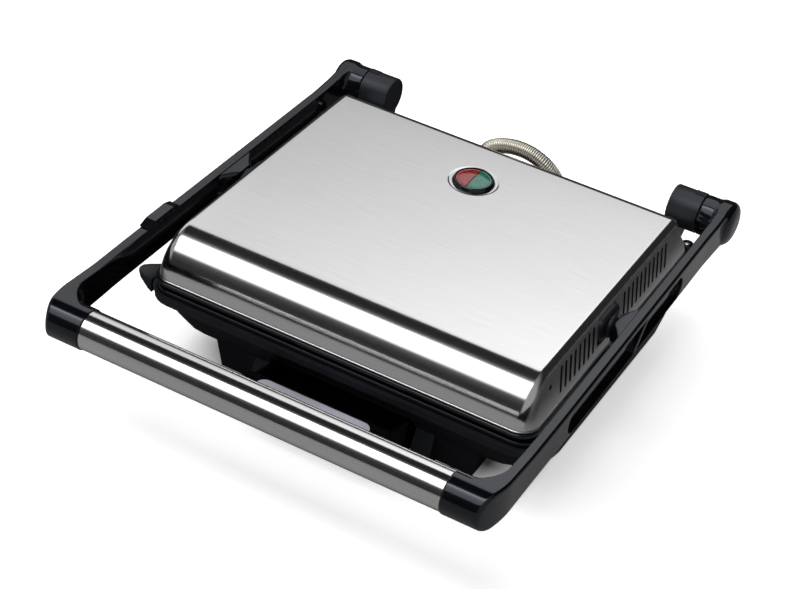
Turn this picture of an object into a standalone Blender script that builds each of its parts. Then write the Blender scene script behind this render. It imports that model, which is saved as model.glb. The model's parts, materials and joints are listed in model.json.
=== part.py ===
"""Panini press: lower housing, arm frame with a floating lid, drip tray and lock slider.

Lengths are in millimetres here and are scaled to metres when a mesh is made.
X runs across the press, Y from the handle to the hinge, Z up from the table.
"""
import math

import bmesh
import bpy
from mathutils import Vector

MM = 0.001
GAP = 0.3
CORNER_STEPS = 6

# Hinge line of the arm frame and pivot line of the floating lid.
HINGE_Y = 199.4
HINGE_Z = 96.0
HINGE_R = 16.2
BARREL_IN = 127.0
BARREL_OUT = 152.6
KNUCKLE_IN = 153.2
KNUCKLE_OUT = 176.4
PIN_R = 4.0
TAB_TOP = 16.9
PIVOT_Y = 20.5
PIVOT_Z = 98.0

# Handle tube between the two arms.
HANDLE_Y = -201.0
HANDLE_Z = 95.6
HANDLE_R = 14.6
HANDLE_HALF = 142.4
HANDLE_WALL = 1.2
CAP_R = 15.4

# Arms: plan outline of the right arm and heights along it.
ARM_OUTER = ((176.8, 217.0), (175.4, 151.0), (177.6, -111.0), (177.6, -180.0))
ARM_NOSE_X = 169.5
ARM_NOSE_Y = -217.0
ARM_INNER = (
    (HANDLE_HALF + 0.4, -185.4), (150.0, -184.8), (157.0, -182.0), (163.0, -175.6),
    (167.0, -164.6), (169.2, -148.0), (169.6, -130.0), (167.4, 151.0), (167.2, 217.0),
)
ARM_UNDER = ((-150.0, 81.3), (150.0, 82.2), (178.0, 82.0))
ARM_OVER = ((172.0, 109.4), (150.0, 108.6), (-150.0, 107.7))
POCKET_DEPTH = 3.5
POCKET_LOW = 84.0
POCKET_HIGH = 103.5
POCKET_FRONT = -95.5
POCKET_BACK = 105.5
WEB_Y = 29.5
WEB_LEAN = 9.0
WEB_HALF = 2.2

# Lid.
LID_TOP = 116.5
LID_FRONT = -107.0
LID_BACK_TOP = 151.6
LID_BACK_FOOT = 175.0
LID_FOOT_Z = 82.4
ROLL_R = 36.0
SIDE_FOOT_X = 155.4
SIDE_LEAN = 0.18
EDGE_TOP_R = 6.0
EDGE_FOOT_R = 14.0
LID_SKIN = 1.2
FOOT_BLEND = 20.0
BACK_R = 11.0
HEM = (156.0, -108.0, 176.0)
HEM_LOW = 80.8
HEM_HIGH = 82.1
FRAME = (157.6, -109.6, 176.8)
FRAME_LOW = 77.0
FRAME_HIGH = 80.5
NOTCH = ((1.0, 89.0), (40.0, 89.0), (35.0, 110.6), (6.0, 110.6))

# Base.
LIP_X = 162.0
LIP_FRONT = -110.2
LIP_BACK = 178.0
LIP_Z = 68.0
BAND_BOTTOM = 60.0
BODY_BOTTOM = 28.0
BODY_FRONT = -86.5
BODY_BACK = 158.0
WALL = 3.0
RIM_LOW = 63.0
RIM_TOP = 72.0
FOOT_H = 3.0
LEG_TOP = BODY_BOTTOM + 1.5
LEG_INNER = 61.3
FRONT_LEG_TOP = (112.0, -84.1, -58.0)
FRONT_LEG_BOTTOM = (107.5, -81.5, -60.0)
TOE_TOP = (76.0, -84.5, -70.0)
TOE_BOTTOM = (77.5, -95.5, -70.0)
REAR_LEG_TOP = (84.0, 120.0, 118.0, 150.0)
REAR_LEG_BOTTOM = (86.0, 116.0, 121.0, 147.0)
VENT_COUNT = 7
VENT_PITCH = 22.0
VENT_HALF = 3.0
VENT_FRONT = 60.0
VENT_BACK = 100.0
FOOT_SPOTS = {
    "front_left": (-90.0, -70.5), "front_right": (90.0, -70.5),
    "rear_left": (-101.0, 134.0), "rear_right": (101.0, 134.0),
}
GLAND_X = -70.0
GLAND_Z = 46.0
GLAND_R = 7.0

# Cooking plates.
PLATE_X = 141.0
PLATE_FRONT = -95.0
PLATE_BACK = 162.0
PLATE_EDGE = 7.0
RIB_COUNT = 19
ROD_X = 90.0
ROD_BEND = 52.0
ROD_START = 20.0
ROD_BACK = 130.0
ROD_R = 3.2
SHIELD = ((-128.0, -70.0, 46.0), (128.0, 150.0, 46.8))
THERMOSTAT_SPOT = (0.0, 60.0)
THERMOSTAT_PROFILE = ((9.0, 47.2), (9.0, 54.0), (11.0, 54.0), (11.0, 58.6))

# Drip tray and its bay.
TRAY_X = 57.5
TRAY_WALL = 2.4
SHELF_X = 47.0
BAY_X = 60.3
BAY_TOP = 40.5
BAY_BACK = -12.0

# Indicator lamp cluster.
LAMP_X = -2.0
LAMP_Y = 100.5
BEZEL_R = 16.6
LENS_R = 14.0

MATERIALS = {
    "steel": ((0.62, 0.61, 0.58, 1.0), 0.28, 1.0),
    "gloss_black": ((0.012, 0.012, 0.014, 1.0), 0.12, 0.0),
    "matte_black": ((0.022, 0.023, 0.026, 1.0), 0.45, 0.0),
    "cast_plate": ((0.035, 0.035, 0.036, 1.0), 0.5, 0.0),
    "bright_metal": ((0.72, 0.72, 0.70, 1.0), 0.25, 1.0),
    "conduit_metal": ((0.66, 0.64, 0.58, 1.0), 0.3, 1.0),
    "dull_metal": ((0.45, 0.45, 0.46, 1.0), 0.45, 1.0),
    "red_lens": ((0.55, 0.03, 0.025, 1.0), 0.15, 0.0),
    "green_lens": ((0.03, 0.32, 0.20, 1.0), 0.15, 0.0),
    "rubber": ((0.02, 0.02, 0.02, 1.0), 0.8, 0.0),
    "ceramic": ((0.75, 0.73, 0.68, 1.0), 0.6, 0.0),
}


# ---------------------------------------------------------------- helpers

def clear_scene():
    """Remove every object before the part is built."""
    for obj in list(bpy.data.objects):
        bpy.data.objects.remove(obj, do_unlink=True)


def make_material(name, key):
    """Return a new Principled material for one sub-part."""
    color, roughness, metallic = MATERIALS[key]
    material = bpy.data.materials.new(name + "_material")
    material.use_nodes = True
    shader = material.node_tree.nodes["Principled BSDF"]
    shader.inputs["Base Color"].default_value = color
    shader.inputs["Roughness"].default_value = roughness
    shader.inputs["Metallic"].default_value = metallic
    material.diffuse_color = color
    return material


def new_object(name, vertices, faces, key=None, smooth_angle=None):
    """Make a mesh object from millimetre coordinates."""
    mesh = bpy.data.meshes.new(name)
    mesh.from_pydata([Vector(v) * MM for v in vertices], [], faces)
    work = bmesh.new()
    work.from_mesh(mesh)
    bmesh.ops.recalc_face_normals(work, faces=work.faces)
    work.to_mesh(mesh)
    work.free()
    obj = bpy.data.objects.new(name, mesh)
    bpy.context.collection.objects.link(obj)
    if key:
        mesh.materials.append(make_material(name, key))
    if smooth_angle is not None:
        mesh.shade_smooth()
        mesh.set_sharp_from_angle(angle=math.radians(smooth_angle))
    return obj


def apply_modifiers(obj):
    """Bake the modifier stack of an object into its mesh."""
    graph = bpy.context.evaluated_depsgraph_get()
    baked = bpy.data.meshes.new_from_object(obj.evaluated_get(graph))
    obj.modifiers.clear()
    old = obj.data
    obj.data = baked
    bpy.data.meshes.remove(old)


def combine(obj, other, operation):
    """Run one exact Boolean of obj with other, then drop other."""
    modifier = obj.modifiers.new(operation, "BOOLEAN")
    modifier.operation = operation
    modifier.solver = "EXACT"
    modifier.object = other
    apply_modifiers(obj)
    bpy.data.objects.remove(other, do_unlink=True)


def smooth(obj, angle):
    """Shade an object smooth with sharp edges above an angle."""
    obj.data.shade_smooth()
    obj.data.set_sharp_from_angle(angle=math.radians(angle))


def loft(rings, closed_loop=False):
    """Skin a list of equal rings; the ends are capped unless it loops."""
    count = len(rings[0])
    vertices = [point for ring in rings for point in ring]
    faces = []
    spans = len(rings) if closed_loop else len(rings) - 1
    for level in range(spans):
        low = level * count
        high = (level + 1) % len(rings) * count
        for i in range(count):
            j = (i + 1) % count
            faces.append((low + i, low + j, high + j, high + i))
    if not closed_loop:
        faces.append(tuple(range(count - 1, -1, -1)))
        faces.append(tuple((len(rings) - 1) * count + i for i in range(count)))
    return vertices, faces


def rounded_ring(half_x, front, back, radius, z, steps=CORNER_STEPS):
    """Rounded rectangle in a level plane, counter-clockwise from the right."""
    corners = (
        (half_x - radius, back - radius, 0.0),
        (-half_x + radius, back - radius, 90.0),
        (-half_x + radius, front + radius, 180.0),
        (half_x - radius, front + radius, 270.0),
    )
    ring = []
    for center_x, center_y, start in corners:
        for step in range(steps + 1):
            angle = math.radians(start + 90.0 * step / steps)
            ring.append((
                center_x + radius * math.cos(angle),
                center_y + radius * math.sin(angle),
                z,
            ))
    return ring


def place(a, b, along, axis):
    """Put a 2-D point and a position along an axis into 3-D."""
    if axis == "X":
        return (along, a, b)
    if axis == "Y":
        return (a, along, b)
    return (a, b, along)


def prism(name, outline, start, end, axis, key=None, smooth_angle=None):
    """Extrude a 2-D outline along an axis."""
    rings = [[place(a, b, along, axis) for a, b in outline] for along in (start, end)]
    vertices, faces = loft(rings)
    return new_object(name, vertices, faces, key, smooth_angle)


def circle(center_a, center_b, radius, count):
    """Points of a circle in 2-D."""
    points = []
    for i in range(count):
        angle = 2.0 * math.pi * i / count
        points.append((
            center_a + radius * math.cos(angle),
            center_b + radius * math.sin(angle),
        ))
    return points


def disc_stack(name, center, profile, axis, count, key=None, smooth_angle=35.0):
    """Solid of revolution about an axis from (radius, position) pairs."""
    rings = []
    for radius, along in profile:
        ring = [place(a, b, along, axis) for a, b in circle(center[0], center[1], radius, count)]
        rings.append(ring)
    vertices, faces = loft(rings)
    return new_object(name, vertices, faces, key, smooth_angle)


def pipe_ring(name, center, profile, axis, count, key, smooth_angle=35.0):
    """Revolved tube whose (radius, position) profile closes on itself."""
    rings = []
    for radius, along in profile:
        ring = [place(a, b, along, axis) for a, b in circle(center[0], center[1], radius, count)]
        rings.append(ring)
    vertices, faces = loft(rings, closed_loop=True)
    return new_object(name, vertices, faces, key, smooth_angle)


def box(name, low, high, key=None):
    """Axis-aligned block between two corners."""
    outline = [(low[0], low[1]), (high[0], low[1]), (high[0], high[1]), (low[0], high[1])]
    return prism(name, outline, low[2], high[2], "Z", key)


def sweep(path, radius, count):
    """Round tube mesh along a list of points."""
    rings = []
    points = [Vector(p) for p in path]
    up = Vector((0.0, 1.0, 0.0))
    for i, point in enumerate(points):
        ahead = points[min(i + 1, len(points) - 1)]
        behind = points[max(i - 1, 0)]
        tangent = (ahead - behind).normalized()
        if abs(tangent.dot(up)) > 0.95:
            up = Vector((0.0, 0.0, 1.0))
        side = tangent.cross(up).normalized()
        up = side.cross(tangent).normalized()
        ring = []
        for k in range(count):
            angle = 2.0 * math.pi * k / count
            ring.append(tuple(point + radius * (math.cos(angle) * side + math.sin(angle) * up)))
        rings.append(ring)
    return loft(rings)


def arc_points(center, radius, start, end, steps, z):
    """Points of an arc in a level plane, angles in degrees."""
    return [(x, y, z) for x, y in arc_2d(center, radius, start, end, steps)]


def arc_2d(center, radius, start, end, steps):
    """Points of an arc in 2-D, angles in degrees."""
    points = []
    for i in range(steps + 1):
        angle = math.radians(start + (end - start) * i / steps)
        points.append((center[0] + radius * math.cos(angle), center[1] + radius * math.sin(angle)))
    return points


def mirrored(outline):
    """Mirror a 2-D outline across its first axis and keep its winding."""
    return [(-a, b) for a, b in reversed(outline)]


# ---------------------------------------------------------------- base

BASE_LEVELS = (
    (156.0, BODY_FRONT + 2.0, BODY_BACK - 2.0, 36.0, BODY_BOTTOM),
    (158.4, BODY_FRONT, BODY_BACK, 37.0, BODY_BOTTOM + 1.6),
    (160.0, -93.4, 164.0, 34.0, 40.6),
    (160.2, -99.0, 168.5, 30.0, 51.0),
    (160.2, -103.5, 172.0, 26.0, BAND_BOTTOM),
    (161.2, -109.0, 177.0, 20.0, BAND_BOTTOM + 0.6),
    (161.4, -109.4, 177.4, 20.0, LIP_Z - 1.6),
    (LIP_X, LIP_FRONT, LIP_BACK, 20.0, LIP_Z - 1.0),
    (LIP_X, LIP_FRONT, LIP_BACK, 20.0, LIP_Z),
)


def inset_level(level, amount, z):
    """Shrink a rounded-rectangle level inwards and set its height."""
    half_x, front, back, radius, _ = level
    return (half_x - amount, front + amount, back - amount, max(radius - amount, 2.0), z)


def build_base_shell():
    """Lower housing: bowl with four legs and the drip tray bay."""
    outer = [rounded_ring(*level) for level in BASE_LEVELS]
    inner = [
        rounded_ring(*inset_level(BASE_LEVELS[8], WALL, LIP_Z)),
        rounded_ring(*inset_level(BASE_LEVELS[8], WALL, BAND_BOTTOM + WALL)),
        rounded_ring(*inset_level(BASE_LEVELS[4], WALL, BAND_BOTTOM + 1.0)),
        rounded_ring(*inset_level(BASE_LEVELS[2], WALL, 41.0)),
        rounded_ring(*inset_level(BASE_LEVELS[0], WALL, BODY_BOTTOM + WALL)),
    ]
    vertices, faces = loft(outer + inner)
    shell = new_object("base_shell", vertices, faces, "matte_black")
    bay = box("bay", (-BAY_X - WALL, BODY_FRONT + 6.0, BODY_BOTTOM + 0.5),
              (BAY_X + WALL, BAY_BACK + WALL, BAY_TOP + WALL))
    combine(shell, bay, "UNION")
    for side in (-1.0, 1.0):
        combine(shell, front_leg(side), "UNION")
        combine(shell, rear_leg(side), "UNION")
    hollow = box("hollow", (-BAY_X, -140.0, BODY_BOTTOM - 20.0), (BAY_X, BAY_BACK, BAY_TOP))
    combine(shell, hollow, "DIFFERENCE")
    vent_slots = vent_cutter()
    combine(shell, vent_slots, "DIFFERENCE")
    combine(shell, gland_cutter(), "DIFFERENCE")
    smooth(shell, 32.0)
    return shell


def tapered_block(name, top, bottom, top_z, bottom_z):
    """Block whose top and bottom rectangles differ; (x0, x1, y0, y1) each."""
    rings = []
    for (x0, x1, y0, y1), z in ((bottom, bottom_z), (top, top_z)):
        rings.append([(x0, y0, z), (x1, y0, z), (x1, y1, z), (x0, y1, z)])
    vertices, faces = loft(rings)
    return new_object(name, vertices, faces)


def side_span(side, near, far):
    """Ordered X range on one side of the press."""
    return (near, far) if side > 0 else (-far, -near)


def front_leg(side):
    """Front leg with a toe next to the drip tray."""
    blocks = []
    for inner, top, bottom, rise in (
        (LEG_INNER, FRONT_LEG_TOP, FRONT_LEG_BOTTOM, 0.0),
        (LEG_INNER - 0.5, TOE_TOP, TOE_BOTTOM, GAP),
    ):
        upper = side_span(side, inner, top[0]) + top[1:]
        lower = side_span(side, inner, bottom[0]) + bottom[1:]
        blocks.append(tapered_block("leg", upper, lower, LEG_TOP + rise, FOOT_H))
    leg, toe = blocks
    combine(leg, toe, "UNION")
    return leg


def rear_leg(side):
    """Rear leg."""
    upper = side_span(side, *REAR_LEG_TOP[:2]) + REAR_LEG_TOP[2:]
    lower = side_span(side, *REAR_LEG_BOTTOM[:2]) + REAR_LEG_BOTTOM[2:]
    return tapered_block("leg", upper, lower, LEG_TOP, FOOT_H)


def vent_cutter():
    """Row of cooling slots through the base floor."""
    cutter = None
    for i in range(VENT_COUNT):
        x = VENT_PITCH * (i - (VENT_COUNT - 1) / 2)
        low = (x - VENT_HALF, VENT_FRONT, BODY_BOTTOM - 1.0)
        high = (x + VENT_HALF, VENT_BACK, BODY_BOTTOM + WALL + 1.0)
        slot = box("slot", low, high)
        if cutter is None:
            cutter = slot
        else:
            combine(cutter, slot, "UNION")
    return cutter


def gland_cutter():
    """Hole in the rear wall for the cord gland."""
    profile = ((GLAND_R + GAP, 150.0), (GLAND_R + GAP, 190.0))
    return disc_stack("hole", (GLAND_X, GLAND_Z), profile, "Y", 20)


def build_cord_gland():
    """Inlet bush of the mains cord in the rear wall."""
    profile = (
        (GLAND_R, 157.0), (GLAND_R, 171.2), (GLAND_R + 3.0, 171.2),
        (GLAND_R + 3.0, 173.6), (GLAND_R + 1.5, 175.6), (3.8, 175.6), (3.8, 157.0),
    )
    return pipe_ring("cord_gland", (GLAND_X, GLAND_Z), profile, "Y", 20, "rubber")


def build_feet():
    """Rubber pads under the four legs, each held by a screw."""
    pieces = []
    top = FOOT_H - 0.05
    for label, (x, y) in FOOT_SPOTS.items():
        profile = ((9.0, 0.6), (9.0, top), (3.4, top), (3.4, 1.2), (6.4, 0.0), (8.4, 0.0))
        pieces.append(pipe_ring("foot_" + label, (x, y), profile, "Z", 20, "rubber"))
        profile = ((2.9, 1.4), (2.9, top))
        name = "foot_screw_" + label
        pieces.append(disc_stack(name, (x, y), profile, "Z", 12, "bright_metal"))
    return pieces


def frame_ring(name, outer, inner, low, high, key, radius):
    """Flat rectangular ring: outer and inner are (half_x, front, back)."""
    inner_radius = 0.6
    rings = [
        rounded_ring(*outer, radius, low),
        rounded_ring(*outer, radius, high),
        rounded_ring(*inner, inner_radius, high),
        rounded_ring(*inner, inner_radius, low),
    ]
    vertices, faces = loft(rings, closed_loop=True)
    return new_object(name, vertices, faces, key, 40.0)


def plate_window(margin):
    """Opening of a frame around a cooking plate."""
    return (PLATE_X + margin, PLATE_FRONT - margin, PLATE_BACK + margin)


def build_base_rim():
    """Gloss ring that trims the bowl and frames the lower plate."""
    inset = WALL + GAP
    outer = (LIP_X - inset, LIP_FRONT + inset, LIP_BACK - inset)
    return frame_ring("base_rim", outer, plate_window(0.5), RIM_LOW, RIM_TOP, "gloss_black", 17.0)


def ribbed_plate(name, floor, deck, crest):
    """Cooking plate with cross ribs; crest is the tip height of the ribs."""
    pitch = 2.0 * (PLATE_X - PLATE_EDGE) / RIB_COUNT
    profile = [(-PLATE_X, floor), (PLATE_X, floor), (PLATE_X, deck)]
    for i in range(RIB_COUNT):
        x = PLATE_X - PLATE_EDGE - pitch * (i + 0.5)
        profile += [(x + 3.6, deck), (x + 1.6, crest), (x - 1.6, crest), (x - 3.6, deck)]
    profile.append((-PLATE_X, deck))
    plate = prism(name, profile, PLATE_FRONT + PLATE_EDGE, PLATE_BACK - PLATE_EDGE, "Y", "cast_plate")
    low, high = sorted((floor, crest))
    for front, back in (
        (PLATE_FRONT, PLATE_FRONT + PLATE_EDGE),
        (PLATE_BACK - PLATE_EDGE, PLATE_BACK),
    ):
        edge = box("edge", (-PLATE_X, front, low), (PLATE_X, back, high))
        combine(plate, edge, "UNION")
    return plate


def heating_rod(name, z):
    """U-shaped heating rod lying against a cooking plate."""
    path = [(-ROD_X, ROD_BACK, z), (-ROD_X, ROD_START, z)]
    path += arc_points((ROD_BEND - ROD_X, 0.0), ROD_BEND, 180.0, 270.0, 6, z)
    path += arc_points((ROD_X - ROD_BEND, 0.0), ROD_BEND, 270.0, 360.0, 6, z)
    path += [(ROD_X, ROD_START, z), (ROD_X, ROD_BACK, z)]
    vertices, faces = sweep(path, ROD_R, 8)
    return new_object(name, vertices, faces, "dull_metal", 50.0)


def build_heat_shield():
    """Sheet below the lower heating rod that keeps the bowl cool."""
    return box("heat_shield", *SHIELD, "dull_metal")


def build_thermostat():
    """Snap-disc thermostat hanging under the lower plate."""
    return disc_stack("thermostat", THERMOSTAT_SPOT, THERMOSTAT_PROFILE, "Z", 16, "ceramic")


POST_OUTLINE = (
    (178.4, 62.0), (193.0, 62.0), (206.0, 72.0), (210.0, 84.0),
    (199.4, 96.0), (190.0, 96.0), (185.6, 84.0), (178.4, 71.6),
)


def build_hinge_barrel(name, side):
    """Hinge barrel on a post behind the base."""
    near, far = side_span(side, BARREL_IN, BARREL_OUT)
    chamfer = 1.2
    profile = (
        (HINGE_R - chamfer, near), (HINGE_R, near + chamfer),
        (HINGE_R, far - chamfer), (HINGE_R - chamfer, far),
    )
    center = (HINGE_Y, HINGE_Z)
    barrel = disc_stack(name, center, profile, "X", 32, "matte_black")
    post_near, post_far = side_span(side, BARREL_IN + 1.5, 139.5)
    combine(barrel, prism("post", POST_OUTLINE, post_near, post_far, "X"), "UNION")
    tab_near, tab_far = side_span(side, 143.0, BARREL_OUT - 0.4)
    tab = box("tab", (tab_near, HINGE_Y - 1.0, HINGE_Z + 10.0), (tab_far, HINGE_Y + 4.0, HINGE_Z + TAB_TOP))
    combine(barrel, tab, "UNION")
    bore_near, bore_far = side_span(side, 133.0, 160.0)
    bore = disc_stack("bore", center, ((PIN_R + GAP, bore_near), (PIN_R + GAP, bore_far)), "X", 20)
    combine(barrel, bore, "DIFFERENCE")
    smooth(barrel, 35.0)
    return barrel


def build_hinge_pin(name, side):
    """Steel pin through the barrel and the arm knuckle."""
    near, far = side_span(side, 133.6, 169.4)
    profile = ((PIN_R - 0.6, near), (PIN_R, near + 0.6), (PIN_R, far - 0.6), (PIN_R - 0.6, far))
    return disc_stack(name, (HINGE_Y, HINGE_Z), profile, "X", 20, "bright_metal")


def build_latch_catch():
    """Ear on the left of the base that the lock of the arm points to."""
    outline = [
        (-162.4, -98.0), (-162.4, -74.0), (-166.0, -74.0), (-176.5, -82.0),
        (-178.5, -86.0), (-178.5, -90.0), (-175.0, -94.0),
    ]
    return prism("latch_catch", outline, 57.0, 68.6, "Z", "matte_black")


CONDUIT_R = 6.2
CONDUIT_POINTS = (
    (-24.0, 165.5, 98.4), (-23.6, 168.6, 101.2), (-19.4, 170.2, 105.2), (-12.4, 170.2, 108.9),
    (-3.8, 170.0, 111.6), (4.2, 170.0, 112.5), (12.4, 170.0, 111.9), (19.6, 170.0, 110.0),
    (25.8, 170.6, 106.6), (30.4, 172.8, 101.4), (33.2, 177.4, 94.0), (34.8, 182.8, 85.0),
    (35.8, 187.0, 75.4), (36.6, 187.4, 65.2), (37.4, 183.6, 56.4), (38.0, 176.6, 51.6),
)


def build_conduit():
    """Flexible conduit that carries the wires from the base to the lid."""
    vertices, faces = sweep(CONDUIT_POINTS, CONDUIT_R, 16)
    return new_object("conduit", vertices, faces, "conduit_metal", 50.0)


# ---------------------------------------------------------------- arms

def arm_side_outline():
    """Arm seen from the side: round at the handle and at the hinge."""
    points = arc_2d((HANDLE_Y, HANDLE_Z), CAP_R, 90.0, 270.0, 16)
    points += list(ARM_UNDER)
    points += arc_2d((HINGE_Y, HINGE_Z), HINGE_R, -115.0, 100.0, 18)
    points += list(ARM_OVER)
    return points


def arm_plan_outline(side):
    """Arm seen from above, with its bowed nose and inner corner."""
    points = list(ARM_OUTER)
    start_x, start_y = ARM_OUTER[-1]
    for step in range(1, 7):
        part = step / 6
        points.append((start_x - (start_x - ARM_NOSE_X) * part * part, start_y + (ARM_NOSE_Y - start_y) * part))
    points += [(HANDLE_HALF + 0.4, ARM_NOSE_Y)] + list(ARM_INNER)
    if side < 0:
        points = mirrored(points)
    return points


def pocket_outline(front, back, lean_front, lean_back):
    """Pocket outline in YZ with rounded or leaning ends."""
    middle = (POCKET_LOW + POCKET_HIGH) / 2.0
    radius = (POCKET_HIGH - POCKET_LOW) / 2.0
    points = []
    if lean_back:
        points += [(back - WEB_LEAN, POCKET_LOW), (back + WEB_LEAN, POCKET_HIGH)]
    else:
        for step in range(9):
            angle = math.radians(-90.0 + 180.0 * step / 8)
            points.append((back - radius + radius * math.cos(angle), middle + radius * math.sin(angle)))
    if lean_front:
        points += [(front + WEB_LEAN, POCKET_HIGH), (front - WEB_LEAN, POCKET_LOW)]
    else:
        for step in range(9):
            angle = math.radians(90.0 + 180.0 * step / 8)
            points.append((front + radius + radius * math.cos(angle), middle + radius * math.sin(angle)))
    return points


def build_arm(name, side):
    """Arm with its front cap, rear knuckle and outer pockets."""
    near, far = side_span(side, HANDLE_HALF + 0.3, 184.0)
    arm = prism(name, arm_side_outline(), near, far, "X", "gloss_black")
    combine(arm, prism("plan", arm_plan_outline(side), 70.0, 120.0, "Z"), "INTERSECT")
    near, far = side_span(side, 131.0, HANDLE_HALF + 6.0)
    spigot_r = HANDLE_R - HANDLE_WALL - GAP
    spigot = disc_stack("spigot", (HANDLE_Y, HANDLE_Z), ((spigot_r, near), (spigot_r, far)), "X", 24)
    combine(arm, spigot, "UNION")
    profile = [
        (HINGE_R - 1.0, side * KNUCKLE_IN), (HINGE_R, side * (KNUCKLE_IN + 1.0)),
        (HINGE_R, side * KNUCKLE_OUT), (HINGE_R - 1.2, side * (KNUCKLE_OUT + 1.8)),
        (HINGE_R - 4.0, side * (KNUCKLE_OUT + 3.4)), (HINGE_R - 9.0, side * (KNUCKLE_OUT + 4.4)),
    ]
    knuckle = disc_stack("knuckle", (HINGE_Y, HINGE_Z), profile, "X", 32)
    combine(arm, knuckle, "UNION")
    bore_near, bore_far = side_span(side, 150.0, 170.0)
    center = (HINGE_Y, HINGE_Z)
    bore = disc_stack("bore", center, ((PIN_R + GAP, bore_near), (PIN_R + GAP, bore_far)), "X", 20)
    combine(arm, bore, "DIFFERENCE")
    for outline in (
        pocket_outline(POCKET_FRONT, WEB_Y - WEB_HALF, False, True),
        pocket_outline(WEB_Y + WEB_HALF, POCKET_BACK, True, False),
    ):
        pocket_near, pocket_far = side_span(side, 177.0 - POCKET_DEPTH, 190.0)
        combine(arm, prism("pocket", outline, pocket_near, pocket_far, "X"), "DIFFERENCE")
    socket_near, socket_far = side_span(side, 160.0, 172.0)
    center = (PIVOT_Y, PIVOT_Z)
    socket = disc_stack("socket", center, ((PIN_R + GAP, socket_near), (PIN_R + GAP, socket_far)), "X", 20)
    combine(arm, socket, "DIFFERENCE")
    smooth(arm, 30.0)
    return arm


def build_handle_tube():
    """Brushed steel tube between the two caps."""
    inner = HANDLE_R - HANDLE_WALL
    profile = (
        (HANDLE_R - 0.4, -HANDLE_HALF), (HANDLE_R, -HANDLE_HALF + 0.4),
        (HANDLE_R, HANDLE_HALF - 0.4), (HANDLE_R - 0.4, HANDLE_HALF),
        (inner, HANDLE_HALF), (inner, -HANDLE_HALF),
    )
    return pipe_ring("handle_tube", (HANDLE_Y, HANDLE_Z), profile, "X", 40, "steel")


# ---------------------------------------------------------------- lid

def lid_profile():
    """Front-to-back (y, z) line of the steel cover, open at the bottom."""
    points = [(LID_FRONT, LID_FOOT_Z)]
    center_y = LID_FRONT + ROLL_R
    center_z = LID_TOP - ROLL_R
    for step in range(1, 11):
        angle = math.radians(178.0 - 88.0 * step / 10)
        points.append((center_y + ROLL_R * math.cos(angle), center_z + ROLL_R * math.sin(angle)))
    points += [(-20.0, LID_TOP), (60.0, LID_TOP)]
    for step in range(4):
        angle = math.radians(90.0 - 42.0 * step / 3)
        y = LID_BACK_TOP - BACK_R * 0.5 + BACK_R * math.cos(angle)
        points.append((y, LID_TOP - BACK_R + BACK_R * math.sin(angle)))
    points += [(160.6, 102.0), (168.2, 93.0), (172.6, 87.6), (LID_BACK_FOOT, LID_FOOT_Z)]
    return points


def side_x(z):
    """Half-width of the flat side panel at a height."""
    return SIDE_FOOT_X - SIDE_LEAN * (z - LID_FOOT_Z)


def profile_normals(points):
    """Inward normals of the cover line."""
    normals = []
    last = len(points) - 1
    for i in range(len(points)):
        ahead = Vector(points[min(i + 1, last)])
        behind = Vector(points[max(i - 1, 0)])
        tangent = (ahead - behind).normalized()
        level = min((points[i][1] - LID_FOOT_Z) / FOOT_BLEND, 1.0)
        normals.append(Vector((tangent.y, -tangent.x * level)).normalized())
    normals[0] = Vector((1.0, 0.0))
    normals[last] = Vector((-1.0, 0.0))
    return normals


def lid_rows(skin):
    """Rows of cover points from one side panel to the other, sunk by a skin."""
    points = lid_profile()
    normals = profile_normals(points)
    turns = 5
    rows = []
    for side in (-1.0, 1.0):
        steps = range(turns, -1, -1) if side < 0 else range(turns + 1)
        for turn in steps:
            angle = math.radians(90.0 * turn / turns)
            row = []
            for (y, z), normal in zip(points, normals):
                drop = (LID_TOP - z) / (LID_TOP - LID_FOOT_Z)
                radius = EDGE_TOP_R + (EDGE_FOOT_R - EDGE_TOP_R) * drop
                inset = skin + (radius - skin) * (1.0 - math.cos(angle))
                new_y = y + normal.x * inset
                new_z = z + normal.y * inset
                x = side_x(new_z) - radius + (radius - skin) * math.sin(angle)
                row.append((side * x, new_y, new_z))
            rows.append(row)
    return rows


def sheet_faces(rows, start):
    """Faces of a grid of rows with its two end panels."""
    count = len(rows[0])
    faces = []
    for level in range(len(rows) - 1):
        for i in range(count - 1):
            a = start + level * count + i
            faces.append((a, a + 1, a + count + 1, a + count))
    last = start + (len(rows) - 1) * count
    faces.append(tuple(range(start + count - 1, start - 1, -1)))
    faces.append(tuple(last + i for i in range(count)))
    return faces


def foot_loop(rows, start):
    """Vertex loop along the open foot of a cover sheet."""
    count = len(rows[0])
    front = [start + level * count for level in range(len(rows))]
    back = [start + level * count + count - 1 for level in range(len(rows) - 1, -1, -1)]
    return front + back


def build_lid_cover():
    """Steel cover with side slots, lamp hole and pivot notches."""
    outer = lid_rows(0.0)
    inner = lid_rows(LID_SKIN)
    vertices = [point for row in outer + inner for point in row]
    start = len(vertices) // 2
    faces = sheet_faces(outer, 0)
    faces += [tuple(reversed(face)) for face in sheet_faces(inner, start)]
    outside = foot_loop(outer, 0)
    inside = foot_loop(inner, start)
    for i, a in enumerate(outside):
        j = (i + 1) % len(outside)
        faces.append((a, inside[i], inside[j], outside[j]))
    cover = new_object("lid_cover", vertices, faces, "steel")
    combine(cover, slot_cutter(), "DIFFERENCE")
    hole = disc_stack("hole", (LAMP_X, LAMP_Y), ((BEZEL_R + GAP, 100.0), (BEZEL_R + GAP, 130.0)), "Z", 32)
    combine(cover, hole, "DIFFERENCE")
    for side in (-1.0, 1.0):
        near, far = side_span(side, 140.0, 170.0)
        combine(cover, prism("notch", list(NOTCH), near, far, "X"), "DIFFERENCE")
    smooth(cover, 32.0)
    return cover


SLOT_PITCH = 7.6
SLOT_WIDTH = 3.4
SLOT_GROUPS = ((-58.6, 8), (47.6, 11))
SLOT_LOW = 88.0
SLOT_HIGH = 109.0


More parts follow.
